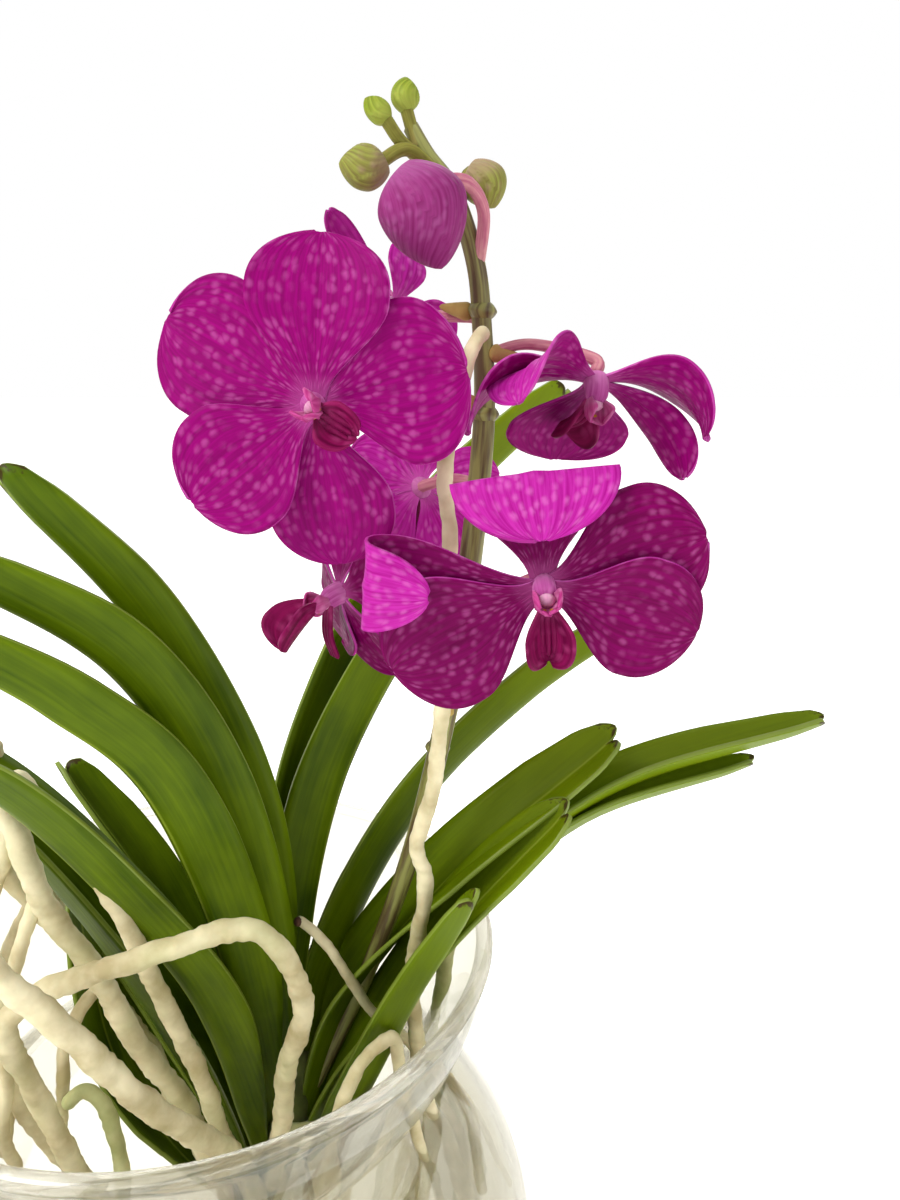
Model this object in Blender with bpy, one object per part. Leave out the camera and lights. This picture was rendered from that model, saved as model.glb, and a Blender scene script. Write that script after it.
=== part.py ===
"""A vanda orchid with its bare roots standing in a clear double-bulb glass vase.

Positions in the tables are in millimetres, with X to the right, Y to the back and Z up.
The origin is the centre of the foot of the vase.
"""

import bpy
import bmesh
import numpy as np
from mathutils.bvhtree import BVHTree

MM = 0.001
GAP = 0.55
FLAT_WITHIN = 0.3

# Glass vase, a profile turned about Z
VASE_HEIGHT = 260.0
VASE_SEGMENTS = 32
RIM_RADIUS = 106.5
NECK_RADIUS = 76.0
NECK_HEIGHT = 196.5
BELLY_RADIUS = 124.0
BELLY_HEIGHT = 123.0
FOOT_RADIUS = 72.0
WALL = 3.8
LIP_RADIUS = 3.4
LIP_HALF_WIDTH = 3.12
LIP_TURNS = (15, 90, 165)
FLOOR = 8.0
COLLAR_POWER = 1.9
UPPER_BULGE = 92.5
LOWER_BULGE = 152.0

# Thickness of the living blades
LEAF_THICKNESS = 1.7
TEPAL_THICKNESS = 0.9
LIP_THICKNESS = 1.0

LEAF_STATIONS = 11
ROOT_SIDES = 5
ROOT_STEP = 13.0
SIDE_ROOT_STATIONS = 7
STEM_SIDES = 8
SPIKE_SIDES = 6
TEPAL_ROWS = 7
TEPAL_COLUMNS = 4

# Stations along the round pieces, and points tried along a curve when it is measured
STEM_STATIONS = 9
SPIKE_STATIONS = 22
STALK_STATIONS = 8
FINE_STATIONS = 60

# Rounding of the two ends of a round bar, as shares of its radius
START_CAP = 0.45
END_CAP = 0.6

# Stalks of the blooms and buds, the column of a bloom and the curl of its lip
STALK_BASE_RADIUS = 1.3
STALK_TOP_RADIUS = 1.8
BUD_STALK_RADIUS = 1.7
COLUMN_RADII = (3.0, 3.0, 5.0)
COLUMN_AHEAD = 2.0
LIP_AHEAD = 3.5
LIP_CURL = -40
LIP_CUP = 0.5
JOINT_HALF_HEIGHT = 3.2

STEM_POINTS = [(8, 6, 98), (14, 6, 125), (21, 5, 148), (28, 5, 170), (33, 5, 190), (35, 5, 203)]
STEM_RADII = [5.0, 7.0, 8.0, 8.0, 7.0, 4.5]

# Each leaf: points along the middle of its fold from stem to tip, half width of the blade,
# half angle of the fold at the base and at the tip, and roll at the base and at the tip
LEAVES = {
    "leaf_right_5": ([(38, -3, 157), (60, -19, 212), (79, -28, 257), (98, -34, 293)], 13, 26, 50, 0, 0),
    "leaf_right_4": ([(37, 4, 166), (65, -6, 225), (97, -10, 274), (130, -12, 312)], 16, 26, 62, 0, -34),
    "leaf_right_3": ([(35, 5, 172), (53, 4, 232), (92, 2, 283), (148, 4, 332)], 17, 26, 62, 0, -30),
    "leaf_right_1": ([(40, 8, 172), (83, 8, 249), (145, 10, 310), (224, 16, 334)], 14, 26, 50, 0, 0),
    "leaf_right_2": ([(42, 6, 168), (84, 7, 242), (135, 10, 297), (200, 16, 318)], 11, 26, 50, 0, 0),
    "leaf_left_3": ([(21, 3, 172), (20, -18, 259), (7, -42, 335), (-14, -58, 369), (-39, -70, 391)],
                    18, 26, 52, 0, -26),
    "leaf_left_4": ([(18, 0, 164), (13, -24, 247), (-8, -44, 305), (-34, -56, 345), (-64, -66, 366)],
                    17, 26, 48, 0, 0),
    "leaf_left_2": ([(23, 3, 178), (25, -10, 255), (16, -26, 327), (-3, -42, 377), (-38, -58, 407)],
                    19, 26, 52, 0, -26),
    "leaf_left_1": ([(25, 4, 184), (26, 0, 255), (22, -12, 320), (3, -30, 384), (-27, -44, 428)],
                    17, 26, 50, 0, -20),
    "leaf_left_5": ([(13, 8, 156), (0, 14, 217), (-22, 20, 268), (-52, 26, 311)], 16, 26, 48, 0, 0),
    "leaf_left_6": ([(12, 3, 150), (-6, -4, 215), (-30, -10, 270), (-58, -16, 316), (-76, -18, 334)],
                    16, 26, 48, 0, 0),
    "leaf_left_7": ([(10, 7, 142), (-18, 22, 190), (-50, 38, 237), (-86, 48, 288)], 16, 26, 48, 0, 0),
    "leaf_left_8": ([(1, 8, 133), (-19, 10, 161), (-39, 14, 200), (-50, 20, 263)], 24, 40, 66, 0, 0),
    "leaf_middle_1": ([(29, 8, 188), (30, 18, 261), (40, 30, 321), (78, 48, 394), (134, 64, 448)],
                      19, 30, 56, 20, 52),
    "leaf_middle_2": ([(31, 5, 184), (33, 7, 246), (47, 12, 309), (72, 14, 360), (92, 16, 383)],
                      18, 30, 56, 20, 52),
    "leaf_middle_3": ([(34, 7, 178), (43, 15, 236), (75, 27, 295), (121, 39, 338), (165, 49, 364)],
                      18, 30, 56, 10, 48),
}

# Share of the full half width along a leaf, and the notch bitten into its tip
LEAF_ALONG = [0.0, 0.12, 0.35, 0.6, 0.85, 0.96, 1.0]
LEAF_WIDE = [0.32, 0.62, 0.98, 1.0, 0.86, 0.66, 0.44]
TIP_NOTCH = (2.5, -3.0, 5.0)

# Each root: points from the plant outwards, and radius at its start and at its end
ROOTS = {
    "root_upright": ([(60, 16, 60), (78, 6, 120), (85, -6, 172), (81, -14, 215), (79, -20, 245),
                      (81, -22, 270), (84, -24, 294), (82, -26, 307), (86, -30, 326), (88, -34, 346),
                      (91, -38, 365), (91, -40, 390), (92, -42, 413), (91, -44, 430), (93, -46, 443),
                      (95, -46, 454), (98, -44, 462), (102, -40, 466)], 3.4, 2.0),
    "root_kinked": ([(22, -2, 144), (28, -16, 166), (35, -30, 217), (45, -43, 257), (43, -49, 280),
                     (38, -52, 291), (33, -54, 296), (26, -56, 297), (12, -62, 296), (-4, -66, 292),
                     (-24, -68, 284), (-35, -68, 272), (-33, -62, 245), (-27, -60, 226), (-26, -50, 192)],
                    3.7, 3.4),
    "root_front": ([(14, 0, 112), (21, -20, 138), (25, -33, 170), (23, -52, 210), (15, -68, 238),
                    (4, -80, 263), (-6, -86, 282), (-15, -90, 299), (-26, -92, 315),
                    (-37, -90, 329)], 3.7, 3.6),
    "root_rounded_tip": ([(17, 0, 128), (15, -12, 156), (12, -24, 190), (8, -34, 227), (0, -42, 264),
                          (-8, -46, 298), (-22, -50, 326), (-32, -52, 346)], 3.3, 2.9),
    "root_tall": ([(9, 2, 110), (6, -8, 146), (1, -20, 190), (-12, -32, 238), (-23, -40, 275),
                   (-32, -44, 298), (-37, -46, 326), (-41, -46, 353)], 3.8, 3.6),
    "root_side": ([(10, 6, 116), (-2, 2, 150), (-8, -8, 186), (-15, -17, 224), (-23, -25, 251),
                   (-31, -31, 275), (-41, -34, 294), (-56, -38, 321)], 3.5, 3.0),
    "root_brown_tip": ([(70, 20, 90), (84, 10, 150), (80, 0, 203), (68, -6, 224), (56, -10, 247),
                        (46, -10, 262), (38, -10, 270)], 2.6, 1.7),
    "root_hooked": ([(30, -14, 120), (44, -24, 163), (52, -36, 196), (57, -41, 224), (64, -39, 238),
                     (73, -34, 241), (75, -28, 228), (75, -27, 215), (76, -22, 198)], 2.9, 2.0),
    "root_old_brown": ([(40, -14, 150), (51, -18, 178), (60, -24, 200), (67, -27, 210),
                        (71, -27, 216)], 2.8, 2.4),
    "root_green": ([(64, 30, 80), (80, 20, 120), (85, 16, 160), (87, 15, 200),
                    (91, 14, 246)], 3.2, 3.0),
    "root_thin": ([(28, -6, 178), (43, -12, 184), (54, -15, 189)], 1.7, 1.5),
    "root_sprout": ([(0, -10, 130), (-14, -46, 170), (-14, -53, 212), (-16, -52, 229), (-23, -50, 236),
                     (-31, -47, 227)], 2.6, 2.4),
    "root_left_low": ([(4, -6, 120), (-24, -34, 165), (-40, -40, 205), (-52, -44, 232), (-66, -46, 262),
                       (-86, -44, 280)], 3.7, 3.4),
    "root_left_back": ([(8, 14, 124), (-22, 24, 165), (-48, 30, 215), (-60, 22, 252),
                        (-72, 12, 290)], 3.4, 3.0),
    "root_belly_left": ([(6, 2, 108), (-20, -16, 90), (-52, -34, 78), (-72, -30, 48),
                         (-58, -10, 13.2)], 4.0, 3.6),
    "root_belly_right": ([(18, 0, 112), (48, -20, 104), (84, -30, 84), (84, -24, 44),
                          (50, -14, 13.0)], 4.0, 3.6),
    "root_belly_front": ([(10, -2, 104), (4, -34, 84), (18, -66, 66), (30, -70, 34),
                          (24, -48, 12.6)], 3.8, 3.4),
    "root_belly_back": ([(14, 12, 106), (20, 44, 92), (40, 72, 70), (34, 62, 32),
                         (16, 38, 12.6)], 3.8, 3.4),
}

# Side roots that grow out of another: their points and their two radii, by parent
SIDE_ROOTS = {
    "root_side": [([(-40, -33, 292), (-52, -33, 272), (-55, -34, 249), (-54, -36, 230), (-57, -38, 212),
                    (-58, -40, 199)], 2.6, 2.0),
                  ([(-25, -26, 256), (-30, -34, 252), (-34, -40, 242), (-35, -41, 222), (-40, -38, 200)],
                   2.2, 1.9)],
    "root_tall": [([(-33, -44, 301), (-41, -46, 282), (-47, -48, 262), (-47, -50, 242), (-52, -50, 220),
                    (-50, -46, 200)], 2.4, 2.0),
                  ([(-38, -46, 328), (-46, -44, 306), (-56, -42, 286), (-62, -40, 264), (-66, -38, 244),
                    (-62, -36, 218)], 2.6, 2.2)],
    "root_green": [([(86, 16, 186), (93, 12, 180), (100, 8, 167), (103, 2, 154), (106, 0, 139)], 2.4, 2.0)],
    "root_hooked": [([(75, -28, 226), (77, -28, 213), (80, -26, 196), (84, -26, 176), (80, -22, 154)],
                     2.2, 1.8)],
}

# Flower stem and the bracts at its joints
SPIKE_POINTS = [(38, 5, 184), (50, 3, 212), (65, 0, 250), (80, -8, 299), (91, -16, 349), (96, -21, 382),
                (100, -24, 417), (102, -25, 445), (101, -26, 469), (99, -27, 485), (93, -28, 502),
                (86, -29, 511), (81, -30, 519)]
SPIKE_RADII = [2.6, 2.9, 3.0, 3.1, 3.3, 3.4, 3.4, 3.5, 3.4, 3.2, 2.8, 2.5, 2.1]
SPIKE_JOINTS = [(88, -13, 336, 4.3), (97, -22, 388, 4.4), (100, -24, 419, 4.4), (102, -25, 444, 4.5),
                (101, -26, 472, 4.4)]

# Each tepal: angle in the face of the bloom, length, width, pitch, curl, cup, twist
# and the place of a sharp fold along it, or 0 for an even curl. The lip: angle, length, width, pitch
BLOOMS = {
    "bloom_a": {
        "centre": (58.5, -58, 447.5), "facing": (-0.12, -0.99, 0.02), "up": (0, 0, 1),
        "tepals": [(86, 40, 36, 8, -22, 0.10, 0, 0), (13, 38, 40, 4, -18, 0.10, 0, 0),
                   (151, 43, 36, 2, -14, 0.10, 0, 0), (218, 39, 34, 12, -10, 0.08, 0, 0),
                   (277, 40, 33, -2, -8, 0.08, 0, 0)],
        "lip": (-32, 13, 11, 25), "spike_at": (101, -25, 446), "bend": (84, -34, 452),
    },
    "bloom_b": {
        "centre": (116, -64, 402.5), "facing": (0.02, -0.98, -0.15), "up": (0.03, -0.15, 0.98),
        "tepals": [(98, 47, 42, -12, 168, 0.0, 0, 0.62), (22, 41, 35, 2, 6, -0.10, -14, 0),
                   (178, 64, 24, 2, 168, 0.0, 0, 0.72), (211, 44, 38, 8, -10, 0.08, 0, 0),
                   (-14, 40, 33, 10, -8, 0.08, 0, 0)],
        "lip": (-84, 18, 12, 25), "spike_at": (97, -22, 390), "bend": (108, -38, 396),
    },
    "bloom_c": {
        "centre": (132, -34, 453), "facing": (0.05, -0.50, -0.86), "up": (0, -0.86, 0.5),
        "tepals": [(142, 38, 18, -20, 110, -0.2, 0, 0), (8, 38, 18, -8, 105, -0.2, 0, 0),
                   (172, 44, 15, -18, 98, -0.2, 0, 0), (252, 30, 28, 10, 20, 0.1, 0, 0),
                   (-30, 40, 11, 5, 80, -0.2, 0, 0)],
        "lip": (-120, 16, 12, 25), "spike_at": (101, -26, 460), "bend": (114, -29, 463),
    },
    "bloom_d": {
        "centre": (83, -3, 420), "facing": (-0.25, 0.93, -0.25), "up": (0.1, 0.25, 0.96),
        "tepals": [(88, 25, 22, 8, -20, 0.1, 0, 0), (16, 24, 26, 8, -10, 0.1, 0, 0),
                   (164, 26, 22, 8, -10, 0.1, 0, 0), (232, 27, 24, 8, -10, 0.1, 0, 0),
                   (-50, 26, 24, 8, -10, 0.1, 0, 0)],
        "lip": (-90, 12, 9, 25), "spike_at": (100, -22, 424), "bend": (93, -13, 424),
    },
    "bloom_e": {
        "centre": (59, -24, 391), "facing": (-0.80, -0.57, -0.20), "up": (-0.15, -0.1, 0.98),
        "tepals": [(92, 22, 18, -20, -20, 0.1, 0, 0), (18, 26, 22, -20, -20, 0.1, 0, 0),
                   (164, 22, 16, -10, -20, 0.1, 0, 0), (235, 24, 22, -5, -10, 0.1, 0, 0),
                   (-70, 31, 26, -10, -20, 0.1, 0, 0)],
        "lip": (-90, 21, 14, 78), "spike_at": (96, -20, 386), "bend": (76, -18, 398),
    },
    "bloom_f": {
        "centre": (75, -13, 473), "facing": (-0.35, 0.80, 0.30), "up": (0.1, -0.3, 0.94),
        "tepals": [(53, 33, 8, 10, -30, 0.1, 0, 0), (0, 20, 14, 10, -20, 0.1, 0, 0),
                   (118, 22, 13, 5, 75, 0.1, 0, 0), (200, 22, 15, 10, -20, 0.1, 0, 0),
                   (-60, 20, 15, 10, -20, 0.1, 0, 0)],
        "lip": (-100, 10, 8, 25), "spike_at": (101, -26, 470), "bend": (90, -18, 471),
    },
}
# Share of a tepal over which a sharp fold turns
FOLD_SPAN = 0.22
TEPAL_ALONG = [0.0, 0.10, 0.22, 0.38, 0.55, 0.72, 0.88, 0.97, 1.0]
TEPAL_WIDE = [0.16, 0.20, 0.40, 0.76, 0.98, 1.0, 0.74, 0.36, 0.14]

# Each bud: centre, three half sizes, the direction of its tip, and the route of its stalk
BUDS = {
    "bud_opening": ((86, -46, 493.5), (11.2, 10.6, 13.2), (0.30, 0.1, -0.95),
                    [(100, -27, 484), (101, -33, 496), (97, -39, 502), (91, -43, 502)]),
    "bud_left": ((70.3, -38, 506), (5.6, 5.6, 6.6), (-0.85, -0.2, 0.1),
                 [(92, -29, 503), (82, -34, 511), (75, -37, 508)]),
    "bud_right": ((101.5, -26, 504.5), (6.2, 6.0, 6.6), (0.35, 0.1, -0.75),
                  [(98, -28, 488), (95, -26, 500), (97, -25, 507)]),
    "bud_top": ((80.5, -31, 524.5), (3.7, 3.7, 4.4), (0.05, 0, 1),
                [(84, -29.5, 512), (82.5, -30, 516), (81, -31, 521)]),
    "bud_green": ((73.5, -33, 520.5), (3.1, 3.1, 4.3), (-0.75, 0, 0.66),
                  [(84, -29, 510), (79, -32, 514), (76, -33, 518)]),
}

COLOURS = {
    "vase": (0.86, 0.92, 0.93), "stem": (0.30, 0.36, 0.10), "leaf": (0.15, 0.25, 0.02),
    "root": (0.76, 0.70, 0.58),
    "flower_spike": (0.26, 0.22, 0.07), "petals": (0.42, 0.01, 0.27), "lip": (0.16, 0.0, 0.05),
    "stalk": (0.55, 0.25, 0.27), "bud": (0.38, 0.36, 0.14),
}


def unit(vector):
    return np.asarray(vector, float) / np.linalg.norm(vector)


def smooth_route(points, count):
    """Points at even spacing along a curve through the given ones."""
    p = np.asarray(points, float)
    p = np.vstack([2 * p[0] - p[1], p, 2 * p[-1] - p[-2]])
    t = np.linspace(0, 1, 12, endpoint=False)[:, None]
    spans = []
    for a, b, c, d in zip(p[:-3], p[1:-2], p[2:-1], p[3:]):
        bend = (2 * a - 5 * b + 4 * c - d) * t**2 + (3 * b - a - 3 * c + d) * t**3
        spans.append(0.5 * (2 * b + (c - a) * t + bend))
    dense = np.vstack(spans + [p[-2]])
    along = np.concatenate([[0], np.cumsum(np.linalg.norm(np.diff(dense, axis=0), axis=1))])
    even = np.linspace(0, along[-1], count)
    return np.stack([np.interp(even, along, dense[:, k]) for k in range(3)], axis=1)


def route_length(points):
    return np.linalg.norm(np.diff(smooth_route(points, FINE_STATIONS), axis=0), axis=1).sum()


def new_object(name, points, faces):
    """A mesh object from points in millimetres."""
    mesh = bpy.data.meshes.new(name)
    mesh.from_pydata([tuple(p * MM) for p in np.asarray(points, float)], [], faces)
    edit = bmesh.new()
    edit.from_mesh(mesh)
    bmesh.ops.recalc_face_normals(edit, faces=edit.faces)
    edit.to_mesh(mesh)
    edit.free()
    thing = bpy.data.objects.new(name, mesh)
    bpy.context.scene.collection.objects.link(thing)
    return thing


def sheet(name, grid, thickness):
    """A closed blade: a grid of points, the same grid moved inwards, and a rim between them."""
    rows, columns = grid.shape[:2]
    along = np.gradient(grid, axis=0)
    across = np.gradient(grid, axis=1)
    normal = np.cross(along, across)
    normal /= np.linalg.norm(normal, axis=2, keepdims=True)
    half = 0.5 * thickness * normal
    points = np.concatenate([(grid + half).reshape(-1, 3), (grid - half).reshape(-1, 3)])
    index = np.arange(rows * columns).reshape(rows, columns)
    under = rows * columns
    faces = []
    for i in range(rows - 1):
        for j in range(columns - 1):
            a, b, c, d = index[i, j], index[i, j + 1], index[i + 1, j + 1], index[i + 1, j]
            for face in ((a, b, c), (a, c, d)):
                faces.append(face)
                faces.append(tuple(k + under for k in face[::-1]))
    rim = [*index[0, :], *index[1:, -1], *index[-1, -2::-1], *index[-2:0:-1, 0]]
    for a, b in zip(rim, rim[1:] + rim[:1]):
        faces.append((a, b, b + under))
        faces.append((a, b + under, a + under))
    return new_object(name, points, faces)


def tube(name, points, radii, sides):
    """A closed round bar along a route, with a radius at every point of it."""
    path = np.asarray(points, float)
    tangent = np.gradient(path, axis=0)
    tangent /= np.linalg.norm(tangent, axis=1, keepdims=True)
    side = np.cross(tangent[0], (0.3, 1.0, 0.1))
    rings = []
    turn = np.arange(sides) * 2 * np.pi / sides
    for centre, ahead, radius in zip(path, tangent, radii):
        side = side - ahead * side.dot(ahead)
        side = side / np.linalg.norm(side)
        other = np.cross(ahead, side)
        ring = np.outer(np.cos(turn), side) + np.outer(np.sin(turn), other)
        rings.append(centre + radius * ring)
    cap = START_CAP * radii[0]
    end = END_CAP * radii[-1]
    vertices = np.vstack(rings + [path[0] - cap * tangent[0], path[-1] + end * tangent[-1]])
    faces = []
    for i in range(len(path) - 1):
        for k in range(sides):
            a, b = i * sides + k, i * sides + (k + 1) % sides
            faces.append((a, b, b + sides))
            faces.append((a, b + sides, a + sides))
    first, last = len(vertices) - 2, len(vertices) - 1
    for k in range(sides):
        faces.append((first, (k + 1) % sides, k))
        faces.append((last, last - 1 - sides + k, last - 1 - sides + (k + 1) % sides))
    return new_object(name, vertices, faces)


def ball(name, centre, radii, axis, segments=8, rings=6):
    """A closed egg, with its third half size along the axis."""
    w = unit(axis)
    u = unit(np.cross(w, (0.31, 0.2, 0.93) if abs(w[2]) < 0.9 else (1, 0, 0)))
    v = np.cross(w, u)
    vertices = [np.asarray(centre) - radii[2] * w]
    for i in range(1, rings):
        tilt = np.pi * i / rings
        for k in range(segments):
            turn = 2 * np.pi * k / segments
            ring = radii[0] * np.cos(turn) * u + radii[1] * np.sin(turn) * v
            vertices.append(np.asarray(centre) - radii[2] * np.cos(tilt) * w + np.sin(tilt) * ring)
    vertices.append(np.asarray(centre) + radii[2] * w)
    faces = []
    last = len(vertices) - 1
    for k in range(segments):
        n = (k + 1) % segments
        faces.append((0, 1 + n, 1 + k))
        faces.append((last, last - segments + k, last - segments + n))
        for i in range(rings - 2):
            a, b = 1 + i * segments + k, 1 + i * segments + n
            faces.append((a, b, b + segments))
            faces.append((a, b + segments, a + segments))
    return new_object(name, vertices, faces)


def largest_body(thing):
    """Drops loose scraps, so that one body is left."""
    edit = bmesh.new()
    edit.from_mesh(thing.data)
    bmesh.ops.dissolve_limit(edit, angle_limit=np.radians(FLAT_WITHIN), verts=edit.verts, edges=edit.edges)
    bmesh.ops.triangulate(edit, faces=edit.faces)
    left = set(edit.verts)
    bodies = []
    while left:
        body = {left.pop()}
        front = list(body)
        while front:
            for edge in front.pop().link_edges:
                for vertex in edge.verts:
                    if vertex not in body:
                        body.add(vertex)
                        front.append(vertex)
        left -= body
        bodies.append(body)

    def area(body):
        return sum(face.calc_area() for face in {face for vertex in body for face in vertex.link_faces})

    keep = max(bodies, key=area)
    bmesh.ops.delete(edit, geom=[v for v in edit.verts if v not in keep], context="VERTS")
    edit.to_mesh(thing.data)
    edit.free()


def apply_boolean(thing, operation, other=None, collection=None):
    """Applies one Boolean with an object or with a collection."""
    boolean = thing.modifiers.new("boolean", "BOOLEAN")
    boolean.operation = operation
    boolean.solver = "EXACT" if operation == "UNION" else "MANIFOLD"
    if collection:
        boolean.operand_type = "COLLECTION"
        boolean.collection = collection
    else:
        boolean.object = other
    bpy.context.view_layer.objects.active = thing
    bpy.ops.object.modifier_apply(modifier=boolean.name)


def fuse(name, pieces):
    """Joins pieces that overlap into one solid."""
    first, rest = pieces[0], pieces[1:]
    group = bpy.data.collections.new(name)
    bpy.context.scene.collection.children.link(group)
    for piece in rest:
        group.objects.link(piece)
    apply_boolean(first, "UNION", collection=group)
    for piece in rest:
        bpy.data.objects.remove(piece)
    bpy.data.collections.remove(group)
    largest_body(first)
    first.name = name
    return first


def tree_of(thing):
    points = [vertex.co for vertex in thing.data.vertices]
    return BVHTree.FromPolygons(points, [face.vertices for face in thing.data.polygons])


def grown(thing):
    """A copy whose surface lies a small gap outside the first."""
    copy = bpy.data.objects.new("grown", thing.data.copy())
    bpy.context.scene.collection.objects.link(copy)
    normals = [v.normal.copy() for v in copy.data.vertices]
    for vertex, normal in zip(copy.data.vertices, normals):
        vertex.co += normal * GAP * MM
    copy.hide_render = True
    copy.display_type = "WIRE"
    return copy


def clear_of(thing, others):
    """Cuts a gap in a piece wherever it would run into one that is already there."""
    for other in others:
        copy = grown(other)
        if tree_of(thing).overlap(tree_of(copy)):
            apply_boolean(thing, "DIFFERENCE", other=copy)
            largest_body(thing)
        bpy.data.objects.remove(copy)


def paint(thing, kind):
    material = bpy.data.materials.new(thing.name)
    material.use_nodes = True
    shader = material.node_tree.nodes["Principled BSDF"]
    shader.inputs["Base Color"].default_value = (*COLOURS[kind], 1.0)
    shader.inputs["Roughness"].default_value = 0.1 if kind == "vase" else 0.5
    shader.inputs["Transmission Weight"].default_value = 1.0 if kind == "vase" else 0.0
    thing.data.materials.clear()
    thing.data.materials.append(material)


def vase_outline():
    """Radius and height of the outside of the vase, from the foot to the rim."""
    lower = []
    for height in (4.0, 18.0, 40.0, 66.0, 94.0, BELLY_HEIGHT):
        lower.append((BELLY_RADIUS * np.sqrt(1 - ((BELLY_HEIGHT - height) / LOWER_BULGE) ** 2), height))
    upper = []
    for height in (148.0, 170.0, 186.0, NECK_HEIGHT):
        upper.append((BELLY_RADIUS * np.sqrt(1 - ((height - BELLY_HEIGHT) / UPPER_BULGE) ** 2), height))
    collar = []
    depth = VASE_HEIGHT - NECK_HEIGHT
    for share in (0.9, 0.74, 0.54, 0.32, 0.07):
        radius = NECK_RADIUS + (RIM_RADIUS - NECK_RADIUS) * (1 - share**COLLAR_POWER)
        collar.append((radius, VASE_HEIGHT - share * depth))
    return lower + upper + collar


def make_vase():
    outside = vase_outline()
    profile = [(0.0, 0.0), (FOOT_RADIUS, 0.0), (FOOT_RADIUS + 3.0, 1.2)] + outside
    for turn in LIP_TURNS:
        angle = np.radians(turn)
        profile.append((RIM_RADIUS - 0.5 * WALL + LIP_HALF_WIDTH * np.cos(angle),
                        VASE_HEIGHT - LIP_RADIUS + LIP_RADIUS * np.sin(angle)))
    inside = [(radius - WALL, height) for radius, height in outside[::-1] if height > FLOOR]
    profile += inside + [(FOOT_RADIUS - 12.0, FLOOR), (0.0, FLOOR)]
    vertices = []
    for k in range(VASE_SEGMENTS):
        turn = 2 * np.pi * k / VASE_SEGMENTS
        for radius, height in profile[1:-1]:
            vertices.append((radius * np.cos(turn), radius * np.sin(turn), height))
    count = len(profile) - 2
    bottom, top = len(vertices), len(vertices) + 1
    vertices += [(0, 0, profile[0][1]), (0, 0, profile[-1][1])]
    faces = []
    for k in range(VASE_SEGMENTS):
        n = (k + 1) % VASE_SEGMENTS
        for i in range(count - 1):
            faces.append((k * count + i, n * count + i, n * count + i + 1, k * count + i + 1))
        faces.append((bottom, n * count, k * count))
        faces.append((top, (k + 1) * count - 1, (n + 1) * count - 1))
    return new_object("vase", vertices, faces)


def leaf_grid(points, half_width, fold_base, fold_tip, roll_base, roll_tip, stations):
    """Points of a folded strap: two edges and a keel at every station."""
    path = smooth_route(points, stations)
    tangent = np.gradient(path, axis=0)
    tangent /= np.linalg.norm(tangent, axis=1, keepdims=True)
    away = path[-1] - path[0]
    side = unit(np.cross((away[0], away[1], 0.0), (0, 0, 1)))
    share = np.linspace(0, 1, stations)
    grid = np.zeros((stations, 3, 3))
    for i, (centre, ahead, s) in enumerate(zip(path, tangent, share)):
        inner = unit(np.cross(side, ahead))
        across = np.cross(ahead, inner)
        roll = np.radians(roll_base + (roll_tip - roll_base) * s)
        fold = np.radians(fold_base + (fold_tip - fold_base) * min(1.0, 1.6 * s))
        wide = half_width * np.interp(s, LEAF_ALONG, LEAF_WIDE)
        a = np.cos(roll) * across + np.sin(roll) * inner
        b = -np.sin(roll) * across + np.cos(roll) * inner
        centre = centre - 0.5 * wide * np.cos(fold) * b
        grid[i, 0] = centre + wide * (np.cos(fold) * b + np.sin(fold) * a)
        grid[i, 1] = centre
        grid[i, 2] = centre + wide * (np.cos(fold) * b - np.sin(fold) * a)
    for column, shift in enumerate(TIP_NOTCH):
        grid[-1, column] += shift * tangent[-1]
    return grid


def make_leaf(name, points, half_width, fold_base, fold_tip, roll_base, roll_tip):
    grid = leaf_grid(points, half_width, fold_base, fold_tip, roll_base, roll_tip, LEAF_STATIONS)
    return sheet(name, grid, LEAF_THICKNESS)


def make_root(name, points, start, end, seed):
    """A root with small swellings along it."""
    count = max(4, int(route_length(points) / ROOT_STEP) + 1)
    random = np.random.default_rng(seed)
    radii = np.linspace(start, end, count) * random.uniform(0.9, 1.1, count)
    root = tube(name, smooth_route(points, count), radii, ROOT_SIDES)
    sides = []
    for side_points, side_start, side_end in SIDE_ROOTS.get(name, []):
        side_route = smooth_route(side_points, SIDE_ROOT_STATIONS)
        side_radii = np.linspace(side_start, side_end, SIDE_ROOT_STATIONS)
        sides.append(tube("side_root", side_route, side_radii, ROOT_SIDES))
    return fuse(name, [root] + sides) if sides else root


def make_spike():
    share = np.linspace(0, 1, len(SPIKE_RADII))
    radii = np.interp(np.linspace(0, 1, SPIKE_STATIONS), share, SPIKE_RADII)
    pieces = [tube("rachis", smooth_route(SPIKE_POINTS, SPIKE_STATIONS), radii, SPIKE_SIDES)]
    for number, (x, y, z, radius) in enumerate(SPIKE_JOINTS):
        pieces.append(ball(f"joint_{number}", (x, y, z), (radius, radius, JOINT_HALF_HEIGHT),
                           (0, 0, 1), 6, 4))
    return fuse("flower_spike", pieces)


def bloom_frame(facing, up):
    ahead = unit(facing)
    top = np.asarray(up, float)
    top = unit(top - ahead * top.dot(ahead))
    return np.cross(top, ahead), top, ahead


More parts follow.
